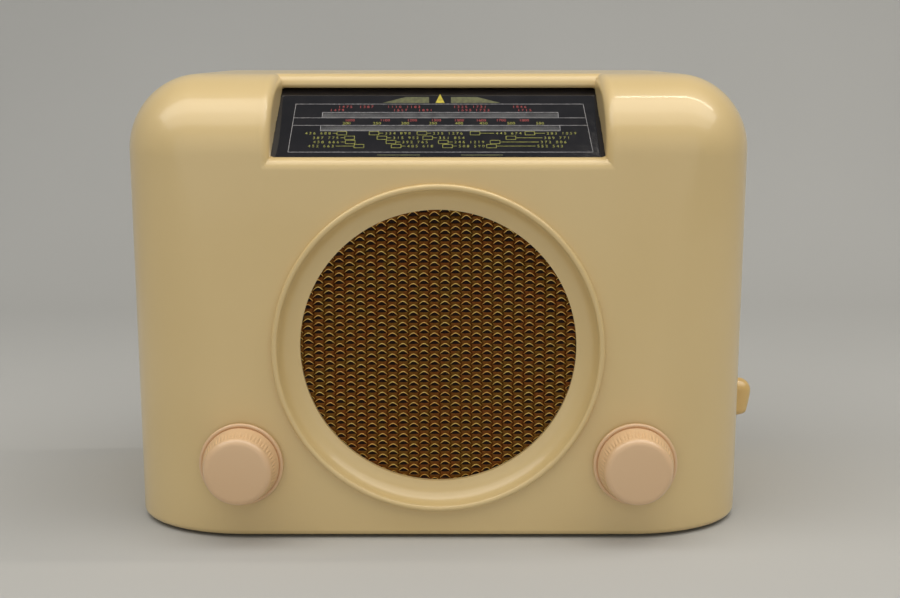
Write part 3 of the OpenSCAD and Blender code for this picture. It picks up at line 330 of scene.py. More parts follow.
# Sides of a box whose points are its lower four corners in turn and the upper four above them
BOX_QUADS = np.array([[0, 3, 2, 1], [4, 5, 6, 7], [0, 1, 5, 4], [1, 2, 6, 5], [2, 3, 7, 6], [3, 0, 4, 7]])


def copies(faces, count, points_each):
    """The same faces for every copy of a shape, where the points of the copies follow each other."""
    return (faces[None] + points_each * np.arange(count)[:, None, None]).reshape(-1, 4)


def boxes(lows, highs):
    """Closed boxes between rows of low and high corners, as points and quads."""
    lows, highs = np.atleast_2d(lows).astype(float), np.atleast_2d(highs).astype(float)
    pick = np.array([[0, 0, 0], [1, 0, 0], [1, 1, 0], [0, 1, 0], [0, 0, 1], [1, 0, 1], [1, 1, 1], [0, 1, 1]])
    points = np.where(pick[None], highs[:, None], lows[:, None])
    return points.reshape(-1, 3), copies(BOX_QUADS, len(lows), 8)


def together(*parts):
    """Several (points, faces) pairs as one pair."""
    starts = np.cumsum([0] + [len(points) for points, _ in parts[:-1]])
    faces = np.vstack([faces + start for (_, faces), start in zip(parts, starts)])
    return np.vstack([points for points, _ in parts]), faces


# %% [markdown]
# The case is one moulding: a box whose front corners and shoulder are parts of ellipsoids, cut by the dial
# recess with softly rounded edges. Such a shape is awkward to draw as one grid, because the recess crosses
# the rounded shoulder. It is easy to say how far a point is from it, though: simple distances are joined
# by taking the greater where forms are cut and the lesser where they are added, with a round for the edges.
# A net of points is then laid where that distance is zero.

# %% Distance to the case
# Radii of the front corners at the shoulder and at the base, across, back and up, and of the bottom edge
CORNER_X, CORNER_Y, CORNER_Z = 36.0, 45.0, 38.0
BASE_X, BASE_Y, EDGE_R = 60.0, 50.0, 3.0
# The dial recess: its width and draft, the lip below it, the brow above it, its cheeks, and the rear edge
RECESS_W, RECESS_DRAFT, LIP_R, LIP_TOP = 162.4, 2.3, 6.0, 190.1
BROW_Y, BROW_R, CHEEK_R, REAR_R = 47.5, 3.5, 4.8, 1.0
BROW_TOP_R, BROW_LOW_R = 6.0, 1.5
BROW_Z = CASE_TOP - 0.2 - BROW_R
# The slope of the glass in depth and height, from the lip up to the brow
LIP_EDGE = np.array([LIP_R, LIP_TOP])
GLASS_END = np.array([BROW_Y - 1.5, BROW_Z - BROW_R - 1.2])
GLASS_LEN = float(np.hypot(*(GLASS_END - LIP_EDGE)))
ALONG = (GLASS_END - LIP_EDGE) / GLASS_LEN
UNDER = np.array([ALONG[1], -ALONG[0]])


def on_slope(s, depth):
    """Depth and height of a point s up the dial slope from the lip and some depth below it."""
    return LIP_EDGE + s * ALONG + depth * UNDER


def rounded_both(a, b, r):
    """Distance to what lies inside both a and b, with their common edge rounded to the radius r."""
    return np.minimum(np.maximum(a, b), -r) + np.hypot(np.maximum(r + a, 0), np.maximum(r + b, 0))


def body_distance(x, y, z, inset):
    """Distance to the rounded body, drawn in by an inset.

    Each direction is measured in its own corner radius, so the surface is where the length of that vector
    is one: |q| = 1 with q = ((|x| - x0) / rx, (y0 - y) / ry, (z - z0) / rz). The radii of the plan change
    evenly with height, from the bottom to the shoulder. Dividing |q| - 1 by the length of its gradient
    gives millimetres.
    """
    rise = np.clip((z - FOOT_H) / (CASE_TOP - CORNER_Z - FOOT_H), 0, 1)
    wide, deep = BASE_X + rise * (CORNER_X - BASE_X), BASE_Y + rise * (CORNER_Y - BASE_Y)
    rx, ry, rz, re = wide - inset, deep - inset, CORNER_Z - inset, max(EDGE_R - inset, 0.5)
    across = np.maximum(np.abs(x) - (CASE_W / 2 - wide), 0) / rx
    ahead = np.maximum(deep - y, 0) / ry
    plan = np.hypot(across, ahead)
    plan_slope = np.hypot(across / rx, ahead / ry) / np.maximum(plan, 1e-9)
    top = np.maximum(z - (CASE_TOP - CORNER_Z), 0) / rz
    flat = (rx - re) / rx
    base = np.maximum(plan - flat, 0) / (1 - flat)
    edge_z = FOOT_H + inset + re
    drop = np.maximum(edge_z - z, 0) / re
    low = np.hypot(base, drop)
    low_slope = np.hypot(base * plan_slope / (1 - flat), drop / re) / np.maximum(low, 1e-9)
    high = np.hypot(plan, top)
    high_slope = np.hypot(plan * plan_slope, top / rz) / np.maximum(high, 1e-9)
    below = z < edge_z
    value, slope = np.where(below, low, high), np.where(below, low_slope, high_slope)
    return (value - 1) / np.maximum(slope, 1 / BASE_X)


def outline_distance(corners, y, z):
    """Signed distance to a closed outline: to its nearest side, negative inside by the crossing rule."""
    best, inside = np.full(np.shape(y), np.inf), np.zeros(np.shape(y), bool)
    for (y0, z0), (y1, z1) in zip(corners, np.roll(corners, -1, axis=0)):
        ey, ez = y1 - y0, z1 - z0
        t = np.clip(((y - y0) * ey + (z - z0) * ez) / (ey * ey + ez * ez), 0, 1)
        best = np.minimum(best, np.hypot(y - y0 - t * ey, z - z0 - t * ez))
        if ez:
            inside ^= ((z0 > z) != (z1 > z)) & (y < y0 + (z - z0) * ey / ez)
    return np.where(inside, -best, best)


# What the inside of the case keeps round the recess: lip, cheeks and brow, in depth and height
LIP_Z = LIP_TOP - LIP_R
LINING = np.array(
    [
        (WALL - 1, LIP_Z - 8), (WALL - 0.1, LIP_Z - 1), (LIP_R - 0.6, LIP_TOP - 3.4), on_slope(-0.1, 2),
        on_slope(0, 0), on_slope(GLASS_LEN + 2, 0), (BROW_Y + 3, BROW_Z - BROW_R),
        (BROW_Y + 6, CASE_TOP - WALL - 0.1), (BROW_Y + 6, CASE_TOP + 5), (-5, CASE_TOP + 5), (-5, LIP_Z - 8),
    ]
)  # fmt: skip


def case_distance(x, y, z):
    """Distance to the moulded wall: rounded body, less the recess, less the hollow behind it."""
    outer = rounded_both(body_distance(x, y, z, 0), y - CASE_D, REAR_R)
    cheek = RECESS_W / 2 - RECESS_DRAFT * (y + 2) / (BROW_Y + 4) - np.abs(x)
    brow = rounded_both(BROW_Y - BROW_R - y, BROW_Z - BROW_R - z, BROW_LOW_R)
    solid = rounded_both(outer, cheek, CHEEK_R)
    solid = np.minimum(solid, rounded_both(outer, z - LIP_TOP, LIP_R))
    solid = np.minimum(solid, rounded_both(outer, brow, BROW_TOP_R))
    lining = np.maximum(np.abs(x) - RECESS_W / 2 - 3, outline_distance(LINING, y, z))
    hollow = np.maximum(body_distance(x, y, z, WALL), -lining)
    return np.maximum(solid, -hollow)


# %% [markdown]
# The net is laid on a box grid whose lines stand close where the surface bends and wide where it is flat.
# Every cell that the surface crosses gets one point, the mean of the crossings on its edges, and every
# grid edge that is crossed gets one quad between the four cells round it. Each point is then moved onto
# the surface along the gradient of the distance.


# %% Net over a distance
# How often the points are moved onto the surface, the longest move in millimetres, the least slope squared
SETTLE, LONGEST_STEP, FLATTEST = 4, 0.8, 0.05


def graded(*spans):
    """Grid lines from spans of (start, stop, step)."""
    return np.unique(np.concatenate([np.linspace(a, b, max(2, round((b - a) / s) + 1)) for a, b, s in spans]))


def slope_of(distance, points, reach=0.02):
    """Gradient of a distance at points, by central differences."""
    ends = [(distance(*(points + h).T), distance(*(points - h).T)) for h in reach * np.eye(3)]
    return np.stack([(far - near) / (2 * reach) for far, near in ends], axis=-1)


def laid_net(distance, lines):
    """Points and quads where the distance is zero, on the box grid of three rows of lines."""
    places = np.meshgrid(*lines, indexing="ij")
    values, places = distance(*places), np.stack(places, axis=-1)
    cells = tuple(len(line) - 1 for line in lines)
    total, count, crossings = np.zeros(cells + (3,)), np.zeros(cells), []
    for axis in range(3):
        ends = range(cells[axis]), range(1, cells[axis] + 1)
        (near, far), (start, stop) = ([np.take(a, end, axis) for end in ends] for a in (values, places))
        crossed = (near < 0) != (far < 0)
        share = np.where(crossed, near / np.where(crossed, near - far, 1), 0)
        at = (start + share[..., None] * (stop - start)) * crossed[..., None]
        others = [a for a in range(3) if a != axis]
        for shift in ((0, 0), (0, 1), (1, 0), (1, 1)):
            window = [slice(None)] * 3
            for other, s in zip(others, shift):
                window[other] = slice(s, s + cells[other])
            total += at[tuple(window)]
            count += crossed[tuple(window)]
        crossings.append((crossed, near < 0))
    used = count > 0
    number = np.full(cells, -1)
    number[used] = np.arange(used.sum())
    points = total[used] / count[used][:, None]
    quads = []
    for axis, (crossed, outward) in enumerate(crossings):
        u, v = (axis + 1) % 3, (axis + 2) % 3
        where = np.argwhere(crossed)
        where = where[np.all([(where[:, a] > 0) & (where[:, a] < cells[a]) for a in (u, v)], axis=0)]
        ring = []
        for shift in ((-1, -1), (0, -1), (0, 0), (-1, 0)):
            cell = where.copy()
            cell[:, [u, v]] += shift
            ring.append(number[tuple(cell.T)])
        ring = np.stack(ring, axis=-1)
        flip = ~outward[tuple(where.T)]
        ring[flip] = ring[flip][:, ::-1]
        quads.append(ring)
    for _ in range(SETTLE):
        gradient = slope_of(distance, points)
        step = distance(*points.T) / np.maximum((gradient**2).sum(axis=1), FLATTEST)
        points -= np.clip(step, -LONGEST_STEP, LONGEST_STEP)[:, None] * gradient
    return points, np.vstack(quads)


# Across, back and up: fine steps at the corners, the recess and the base, wide ones on the flats
half_x = graded((0, 66, 6), (66, 89, 1.15), (89, 101, 3), (101, 158.2, 1.5))
grid = (
    np.unique(np.concatenate([-half_x, half_x])),
    graded((-1.6, 55, 1.25), (55, 162, 6), (162, 173, 1.3)),
    graded((0.7, 9.1, 0.7), (9.1, 175, 5), (175, 231, 1.25)),
)
case_points, case_quads = laid_net(case_distance, grid)
print("case net", len(case_points), "points", len(case_quads), "quads")

# %% [markdown]
# Holes and bosses are plain drilled and turned shapes, so they are cut and joined with Boolean modifiers:
# the loudspeaker opening, the holes for the spindles and screws, the slots in the floor, and the posts for
# the screws. Afterwards the shading normals are taken from the distance again, so that the rounded
# shoulder shades as smoothly as the real moulding, except where a face turns sharply away.

# %% Case
RING_Z, RING_R, BEAD_R, RING_OUT, GRILLE_R, GRILLE_Y = 96.2, 81.6, 1.5, 3.0, 68.3, 6.9
RING_BACK, BOSS_R, COVE_R = 9.5, 84.6, 12.4
KNOB_X, KNOB_Z, SPINDLE_R = 97.5, 39.0, 3.0
LEVER_Y, LEVER_Z = 60.0, 62.0
BACK_Y, BACK_SCREW_X, BACK_SCREW_Z = 167.0, 148.1, (31.5, 181.3)
CHASSIS_SCREW_X, CHASSIS_SCREW_Y, CHASSIS_Z = 121.0, (108.0, 128.0), 8.5
POST_LENGTH, POST_R, DECK_POST_R, PILOT_LENGTH, PILOT_R = 40.0, 5, 6, 14.0, 1.5
SHANK_R, HEAD_R, HEAD_TOP = 2.2, 4.6, FOOT_H + 2.6
SLOT_PITCH, SLOT_W, SLOT_Y = 22.0, 4.0, (118.0, 152.0)


def drum(start, stop, radius, axis, steps=48):
    """Closed cylinder from a middle point along an axis up to stop: a ring and a pole at both ends."""
    low = start[axis]
    points, faces = turned([(0, low), (radius, low), (radius, stop), (0, stop)], 0, 0, steps, closed=False)
    order = {1: [0, 1, 2], 0: [1, 0, 2], 2: [0, 2, 1]}[axis]
    offset = np.array(start, float)
    offset[axis] = 0
    return points[:, order] + offset, faces


def tool(name, *parts):
    """A helper object for a Boolean, deleted after use."""
    shape = meshed(name, *together(*parts))
    join_seams(shape.data)
    return shape


def boolean(shape, operation, helper):
    """Joins or cuts with a helper object, which is then deleted, and keeps the result as the mesh."""
    change = shape.modifiers.new(operation, "BOOLEAN")
    change.operation, change.solver, change.object = operation, "EXACT", helper
    graph = bpy.context.evaluated_depsgraph_get()
    old, made = shape.data, bpy.data.meshes.new_from_object(shape.evaluated_get(graph))
    shape.modifiers.clear()
    shape.data = made
    bpy.data.meshes.remove(old)
    bpy.data.objects.remove(helper)


cabinet = piece("case_moulding", case_points, case_quads, cream_urea, "receiver", "cream_case", ["cabinet"])
back_screws = [(s * BACK_SCREW_X, z) for s in (-1, 1) for z in BACK_SCREW_Z]
deck_screws = [(s * CHASSIS_SCREW_X, y) for s in (-1, 1) for y in CHASSIS_SCREW_Y]
posts = [drum((x, BACK_Y - POST_LENGTH, z), BACK_Y, POST_R, 1) for x, z in back_screws]
posts += [drum((x, y, FOOT_H + 1), CHASSIS_Z, DECK_POST_R, 2) for x, y in deck_screws]
boolean(cabinet, "UNION", tool("posts", *posts))

holes = [drum((0, -6, RING_Z), WALL + 3, RING_R - BEAD_R, 1, 192)]
holes += [drum((s * KNOB_X, -2, KNOB_Z), WALL + 2, SPINDLE_R + 3, 1) for s in (-1, 1)]
holes += [drum((CASE_W / 2 - 8, LEVER_Y, LEVER_Z), CASE_W / 2 + 3, SPINDLE_R + 2, 0)]
holes += [drum((x, BACK_Y - PILOT_LENGTH, z), BACK_Y + 2, PILOT_R, 1, 24) for x, z in back_screws]
holes += [drum((x, y, HEAD_TOP), CHASSIS_Z + 11.5, SHANK_R, 2, 24) for x, y in deck_screws]
boolean(cabinet, "DIFFERENCE", tool("holes", *holes))

slot_x = SLOT_PITCH * np.arange(-4, 5)
slot_ends = (
    np.stack([slot_x + side * SLOT_W / 2, np.full(9, y), np.full(9, z)], axis=-1)
    for side, y, z in ((-1, SLOT_Y[0], 0.5), (1, SLOT_Y[1], 8.0))
)
heads = [drum((x, y, 0), HEAD_TOP, HEAD_R, 2, 24) for x, y in deck_screws]
boolean(cabinet, "DIFFERENCE", tool("wide_holes", boxes(*slot_ends), *heads))


def shade_by_distance(shape, distance, near_mm=0.2, spread=40):
    """Corner normals from the distance's gradient, where it agrees with the face within some degrees."""
    mesh = shape.data
    points = fetch(mesh.vertices, "co", 3) * 1000 - SHIFT
    gradient = slope_of(distance, points, 0.05)
    gradient /= np.maximum(np.linalg.norm(gradient, axis=1), 1e-9)[:, None]
    gradient[np.abs(distance(*points.T)) > near_mm] = 0
    corners_each = fetch(mesh.polygons, "loop_total", kind=int)
    own = np.repeat(fetch(mesh.polygons, "normal", 3), corners_each, axis=0)
    smooth = gradient[fetch(mesh.loops, "vertex_index", kind=int)]
    agrees = (smooth * own).sum(axis=1) > math.cos(math.radians(spread))
    mesh.normals_split_custom_set(np.where(agrees[:, None], smooth, own).tolist())


shade_by_distance(cabinet, case_distance)
print("case moulding", len(cabinet.data.polygons), "faces")

# %% [markdown]
# The ring round the loudspeaker is part of the same moulding. It is a turned form: a small half-round bead
# stands out from the front, and inside it the surface hollows back to the edge of the grille. A profile
# turned about the loudspeaker's axis gives it exactly, fine enough that its highlight runs unbroken.

# %% Loudspeaker ring
bead_at = np.array([RING_R - BEAD_R, BEAD_R - RING_OUT])
cove_top, cove_end = bead_at - (BEAD_R, 0), np.array([GRILLE_R, GRILLE_Y])
chord = cove_end - cove_top
normal = np.array([-chord[1], chord[0]]) / np.hypot(*chord)
cove_at = (cove_top + cove_end) / 2 + math.sqrt(COVE_R**2 - chord @ chord / 4) * normal
cove_from, cove_to = (math.degrees(math.atan2(*(p - cove_at)[::-1])) for p in (cove_end, cove_top))
in_hole = RING_R - BEAD_R - 0.2
ring_profile = np.vstack(
    [
        arc(cove_at, COVE_R, cove_from, cove_to, 20), arc(bead_at, BEAD_R, 190, 360, 14),
        [(RING_R, 0.02), (in_hole, 0.02), (in_hole, WALL + 0.02), (BOSS_R, WALL + 0.02)],
        [(BOSS_R, RING_BACK), (GRILLE_R, RING_BACK), (GRILLE_R, GRILLE_Y + 0.5)],
    ]
)  # fmt: skip
ring_points, ring_quads = turned(ring_profile, 0, RING_Z, 256)
ring = piece("speaker_ring", ring_points, ring_quads, cream_urea, "receiver", "cream_case", ["cabinet"])
sharpen(ring, 30)
print("ring", len(ring_quads), "quads")

# %% [markdown]
# The grille is bronzed expanded metal, pressed so that each opening has a raised lip above it, like fish
# scales. The scales stand in columns a little over 5 mm apart, one every 3.5 mm, and every second column
# is half a scale lower. One scale is a small curved plate: it joins the next column along its sides and
# bulges forward towards its lower edge, which arches over the next opening. A thin bright line is painted
# along every arch as a highlight, where that edge catches the light from above.

# %% Speaker grille
SCALE_W, SCALE_H, SCALE_OUT, OPENING_H, SCALE_T = 5.21, 3.54, 0.9, 1.8, 0.3
GRID_X, GRID_Z, RIM, GRILLE_KEEP, FLAT_EDGE = -1.87, -0.47, 0.4, 71.5, 2.5
# How many points lie across one scale and down it
AT_U, AT_V = 7, 6


def scale_plate():
    """One scale, with h = cos(pi u) across it and v from 0 at its upper edge to 1 at its arched lower edge.

    The upper edge is z = -0.12 h, the arch z = -H + opening h^1.1, and the plate comes forward as v h. The
    last two rows of points lie in the rim that carries the painted highlight, which is equally wide all along
    the arch.
    """
    u, k = np.meshgrid(np.linspace(-0.5, 0.5, AT_U), np.arange(AT_V), indexing="ij")
    hump = np.cos(math.pi * u)
    top, arch = -0.12 * hump, -SCALE_H + OPENING_H * hump**1.1
    body = top + k / (AT_V - 3) * (arch + RIM - top)
    z = np.where(k < AT_V - 2, body, arch + np.where(k == AT_V - 2, 0.8 * RIM, 0))
    v = (z - top) / (arch - top)
    return u * SCALE_W, z, v * hump, (k >= AT_V - 2).astype(float)


column, row = (a.ravel() for a in np.meshgrid(np.arange(-14, 15), np.arange(-22, 23), indexing="ij"))
scale_x, scale_z = column * SCALE_W + GRID_X, (row + 0.5 * (column % 2)) * SCALE_H + SCALE_H / 2 + GRID_Z
kept = np.hypot(scale_x, scale_z - SCALE_H / 2) < GRILLE_KEEP
scale_x, scale_z = scale_x[kept], scale_z[kept]
local_x, local_z, forward, crest = scale_plate()
plate_x = scale_x[:, None, None] + local_x
plate_z = scale_z[:, None, None] + local_z
edge = np.clip((GRILLE_R - 1.0 - np.hypot(plate_x, plate_z)) / FLAT_EDGE, 0, 1)
front_y = RING_BACK + 0.3 - SCALE_OUT * forward * edge
sheet = np.stack([plate_x, front_y, plate_z + RING_Z], axis=-1)
behind = sheet + (0, SCALE_T, 0)
half = AT_U * AT_V
number = np.arange(half).reshape(AT_U, AT_V)
rim = np.concatenate([number[:, 0], number[-1, 1:], number[-2::-1, -1], number[0, -2:0:-1]])
face = grid_faces(AT_U, AT_V)
side = np.stack([rim, np.roll(rim, -1), np.roll(rim, -1) + half, rim + half], axis=-1)
plate_faces = np.vstack([face[:, ::-1], face + half, side])
scale_points = np.concatenate([layer.reshape(-1, half, 3) for layer in (sheet, behind)], axis=1)
scale_quads = copies(plate_faces, len(scale_x), 2 * half)

bronze = Finish("bronzed_expanded_metal", "#8a5f2a", 0.36, 0.8)
# Painted highlight: the rim of each arch, marked by the crest weight, is painted bright gold where it catches
# the light from above
painted_highlight = bronze.remap((add(bronze.tree, "Attribute", attribute_name="crest"), "Fac"), 0.2, 0.9)
patches = bronze.remap(bronze.speckle(5, 2), 0.38, 0.62)
body_tone, highlight_tone = bronze.blend(patches, "#6d3b0c", "#6a450e"), bronze.blend(patches, "#ffc66a", "#ffdc7c")
bronze.feed("Base Color", bronze.blend(painted_highlight, body_tone, highlight_tone))
bronze.relief(bronze.speckle(0.4, 2), 0.03, 0.5)

crest_of = np.broadcast_to(np.concatenate([crest.ravel(), 0 * crest.ravel()]), (len(scale_x), 2 * half))
piece(
    "expanded_metal", scale_points.reshape(-1, 3), scale_quads, bronze, "receiver", "bronzed_mesh",
    ["speaker_grille"], merge=False, weights={"crest": crest_of},
)  # fmt: skip
print("grille", len(scale_x), "scales", len(scale_quads), "quads")

# %% [markdown]
# A knob is a deep cup: a slightly crowned disc with a soft edge, a wall that widens towards the case, and a
# round bead where it ends. Fine ribs for the fingers start at the disc and run out before the bead. The
# profile is turned in steps that divide evenly into the ribs, and the wall is pushed in between them.

# %% Knobs
KNOB_FRONT, KNOB_BACK, KNOB_R, DISC_R = -18.5, -1.0, 20.8, 16.9
DISC_EDGE, DISC_CROWN, BEAD, HUB_R, BORE_R, SHELL = 3.4, 0.4, 1.1, 6.5, 3.02, 2.2
# The wall ends this far inside the bead and before the back, with a groove between them
WALL_IN, WALL_STOP, GROOVE = 1.9, 3.4, 0.6
# The hollow: how far its mouth lies in from the bead and tapers, then its floor, the hub and the bore
MOUTH_IN, MOUTH_TAPER, FLOOR_T, HUB_STOP, BORE_STOP = 3.4, 3.0, 4.0, 1.0, 3.2
RIBS, RIB_STEPS, RIB_DEPTH, RIB_STRENGTH, RIB_REACH = 60, 8, 0.42, (0.65, 1.15), (0.55, 0.8)
# The share of the wall over which a rib comes in after the disc, and the one over which it runs out
RIB_IN, RIB_OUT = 0.06, 0.3
GRUB_Y, GRUB_R = KNOB_BACK - 5.5, 1.5

disc_r = np.array([0.0, 4.0, 8.0, 11.5])
disc = np.stack([disc_r, KNOB_FRONT + DISC_CROWN * (disc_r / (DISC_R - DISC_EDGE)) ** 2], axis=-1)
disc_edge = arc((DISC_R - DISC_EDGE, KNOB_FRONT + DISC_CROWN + DISC_EDGE), DISC_EDGE, -90, 0, 9)
wall_end = np.array([KNOB_R - WALL_IN, KNOB_BACK - WALL_STOP])
along_wall = np.linspace(0, 1, 17)[1:]
fluted_wall = disc_edge[-1] + along_wall[:, None] * (wall_end - disc_edge[-1])
groove = [(wall_end[0] - GROOVE, wall_end[1] + GROOVE)]
groove_and_bead = np.vstack([groove, arc((KNOB_R - BEAD, KNOB_BACK - BEAD), BEAD, -150, 90, 12)])
inside = np.array(
    [
        (KNOB_R - MOUTH_IN, KNOB_BACK), (KNOB_R - MOUTH_IN - SHELL, KNOB_BACK - MOUTH_TAPER),
        (DISC_R - SHELL, KNOB_FRONT + FLOOR_T), (HUB_R, KNOB_FRONT + FLOOR_T),
        (HUB_R, KNOB_BACK - HUB_STOP), (BORE_R, KNOB_BACK - HUB_STOP),
        (BORE_R, KNOB_FRONT + BORE_STOP), (0, KNOB_FRONT + BORE_STOP),
    ]
)  # fmt: skip
knob_profile = np.vstack([disc, disc_edge, fluted_wall, groove_and_bead, inside])
first_wall = len(disc) + len(disc_edge)
wall_rows = slice(first_wall, first_wall + len(along_wall))


def ribbed_knob(x, seed):
    """The turned profile with its wall moved in by depth (1 - |sin(n a / 2)|) times a fade along the wall."""
    chance = np.random.default_rng(seed)
    steps = RIBS * RIB_STEPS
    points, faces = turned(knob_profile, 0, 0, steps, closed=False)
    angle = np.linspace(0, 2 * math.pi, steps, endpoint=False)
    between = 1 - np.abs(np.sin(RIBS * angle / 2))
    strength = np.repeat(chance.uniform(*RIB_STRENGTH, RIBS), RIB_STEPS)
    reach = np.repeat(chance.uniform(*RIB_REACH, RIBS), RIB_STEPS)
    on_wall, share = np.zeros(len(knob_profile)), np.zeros((len(knob_profile), 1))
    on_wall[wall_rows], share[wall_rows] = along_wall, RIB_DEPTH
    out, come_in = (reach[None, :] - on_wall[:, None]) / RIB_OUT, on_wall[:, None] / RIB_IN
    fade = np.clip(out, 0, 1) * np.clip(come_in, 0, 1)
    inward = share * fade * between[None, :] * strength[None, :]
    radius = np.hypot(points[:, 0], points[:, 2])
    points[:, [0, 2]] *= (1 - inward.ravel() / np.maximum(radius, 1e-6))[:, None]
    return points + (x, 0, KNOB_Z), faces


for side, body, seed in ((1, "tuning", 5), (-1, "volume", 8)):
    shape = ribbed_knob(side * KNOB_X, seed)
    knob = piece(body + "_knob_moulding", *shape, knob_urea, body, "cream_knob", [body + "_knob"])
    hole = drum((side * KNOB_X, GRUB_Y, KNOB_Z - KNOB_R - 2), KNOB_Z - BORE_R - 1, GRUB_R, 2, 24)
    boolean(knob, "DIFFERENCE", tool("grub_hole", hole))
    sharpen(knob, 40)
    print(knob.name, len(knob.data.polygons), "faces")

# %% [markdown]
# The wave-change lever is a smooth amber pebble on the right side: a round crown over the spindle and a
# short tail to push with a finger. It is lofted from level sections. Each section is half an oval, flat
# towards the case, as deep and as wide as the lever is at that height, and the whole leans forward.

# %% Wave-change lever
LEVER_REACH, CROWN_R, TAIL, LEVER_LEAN, LEVER_GAP = 9.4, 7.0, 13.3, 15.0, 0.6
TAIL_OUT, TAIL_HALF, OVAL, TAIL_ROUND = 6.3, 4.0, 2.5, 0.78


def lever_loft(levels=40, around=36):
    """Sections at height h: x = out(h) |cos a|^(2/p), y = half(h) |sin a|^(2/p) sign(sin a), p = 2.5."""
    turn = np.linspace(0, math.pi, levels)
    h = (CROWN_R - TAIL) / 2 + (CROWN_R + TAIL) / 2 * np.cos(turn)
    up = np.sqrt(np.clip(1 - (np.maximum(h, 0) / CROWN_R) ** 2, 0, 1))
    down = np.clip(-h / TAIL, 0, 1)
    end = np.clip(1 - np.clip((down - TAIL_ROUND) / (1 - TAIL_ROUND), 0, 1) ** 3, 0, 1) ** 0.5
    crown_out = LEVER_REACH - CROWN_R + CROWN_R * up
    tail_out = LEVER_REACH + (TAIL_OUT - LEVER_REACH) * down**1.3
    out = np.where(h > 0, crown_out, tail_out)
    half_depth = np.where(h > 0, CROWN_R * up, CROWN_R + (TAIL_HALF - CROWN_R) * down**0.9)
    out = out * np.where(h > 0, np.minimum(1, 3 * up), end)
    half_depth = half_depth * np.where(h > 0, 1, end)
    a = np.linspace(-math.pi / 2, math.pi / 2, around)
    x = out[:, None] * np.abs(np.cos(a)) ** (2 / OVAL)
    y = half_depth[:, None] * np.sign(np.sin(a)) * np.abs(np.sin(a)) ** (2 / OVAL)
    z = np.repeat(h[:, None], around, axis=1)
    cos, sin = math.cos(math.radians(LEVER_LEAN)), math.sin(math.radians(LEVER_LEAN))
    points = np.stack([x, y * cos + z * sin, z * cos - y * sin], axis=-1)
    faces = grid_faces(levels, around, close_columns=True)
    return points.reshape(-1, 3) + (CASE_W / 2 + LEVER_GAP, LEVER_Y, LEVER_Z), faces


lever = piece("lever_moulding", *lever_loft(), lever_urea, "wave", "amber_lever", ["wave_lever"])
sharpen(lever, 50)
print("lever", len(lever.data.polygons), "faces")

# %% [markdown]
# The dial is a sheet of glass printed on its back. Nearly all of it is black, with two long windows left
# clear, where a red pointer passes in front of a white plate. So the glass is a black glossy sheet with two
# slots, and a thin smoked pane lies in each. Frames, scales and numbers are thin raised ink on the glass.

# %% Dial glass
GLASS_T, GLASS_FACE, GLASS_HALF = 2.4, 0.05, RECESS_W / 2 + 2.5
WINDOWS = ((-58.0, 60.0, 19.3, 23.4), (-57.7, 59.6, 29.1, 33.3))
PANE_T, PANE_GAP = 0.6, 0.03


def sloped(points):
    """Points given as across, up the slope from the lip and below its plane, in case millimetres."""
    x, s, depth = np.asarray(points, float).T
    y, z = LIP_EDGE[:, None] + np.outer(ALONG, s) + np.outer(UNDER, depth)
    return np.stack([x, y, z], axis=-1)


def slab(x0, x1, s0, s1, top, bottom):
    """A box on the dial slope."""
    points, faces = boxes([(x0, s0, top)], [(x1, s1, bottom)])
    return sloped(points), faces


# Black enamel behind polished glass: near black, very smooth, with a faint film of dust that dulls it
black_glass = Finish("black_printed_glass", "#17161a", 0.06, IOR=1.52)
black_glass.tint(black_glass.speckle(9, 4), "#131216", "#1c1a1d", 0.4, 0.7)
black_glass.vary_gloss(black_glass.speckle(3, 3), 0.05, 0.11)

# The clear windows: glass with nothing but dust on it, seen as a thin grey veil
veil = ("#7c7c7f", "#9c9c9e")
clear_glass = mottled("dusty_window_glass", "#8c8c8e", 0.1, veil, (4, 3), IOR=1.52, Alpha=0.22)


def on_dial(name, shape, finish):
    """A piece that belongs to the dial glass."""
    return piece(name, *shape, finish, "receiver", "dial_glass", ["dial_glass"], smooth=False)


glass_slab = slab(-GLASS_HALF, GLASS_HALF, 0.1, GLASS_LEN + 1, GLASS_FACE, GLASS_T)
glass = on_dial("printed_glass", glass_slab, black_glass)
boolean(glass, "DIFFERENCE", tool("windows", *[slab(*window, -1, GLASS_T + 1) for window in WINDOWS]))
panes = [
    slab(x0 + PANE_GAP, x1 - PANE_GAP, s0 + PANE_GAP, s1 - PANE_GAP, GLASS_FACE, GLASS_FACE + PANE_T)
    for x0, x1, s0, s1 in WINDOWS
]
on_dial("scale_windows", together(*panes), clear_glass)

# %% [markdown]
# The print is laid out in millimetres, across and up the slope, as it was measured through the camera. A
# line is a flat bar between two points. The numbers come from Blender's own font, turned into meshes. The
# words of a real dial are left off, and short numbers in the same place and colour stand for them.

# %% Dial print
INK_T = 0.06
INK_MID = GLASS_FACE - 0.03
FRAME_CORNERS = [(-72.7, 3.6), (75.1, 3.6), (72.5, 39.7), (-71.4, 39.7)]
STATIONS = [
    (17.5, ((-47.3, -1), (-31.5, 1), (-8.0, 1), (18.1, 1), (45.0, 1))),
    (14.1, ((-43.3, -1), (-27.5, 1), (-5.1, 1), (35.6, 1))),
    (11.0, ((-42.9, -1), (-23.0, 1), (2.5, 1), (27.8, 1))),
    (8.0, ((-38.5, -1), (-20.4, 1), (4.6, 1), (26.0, 1))),
]
LEADS = {
    (18.1, 17.5): 7, (45.0, 17.5): 5, (35.6, 14.1): 13, (27.8, 11.0): 19, (26.0, 8.0): 19, (-38.5, 8.0): 9,
}  # fmt: skip
SHORT_LEAD, AFTER_LEAD = 2.2, 0.8
STATION_W, STATION_H, LINE_W, FINE_W, LIP_LINE_W = 4.7, 2.5, 0.3, 0.24, 0.5
LONG_ROW, MEDIUM_ROW, UPPER_ROW, MIDDLE_ROW = 27.3, 25.0, 37.6, 35.0
LONG_X = (-43.8, -26.4, -13.0, -1.1, 10.3, 21.2, 31.1, 42.5)
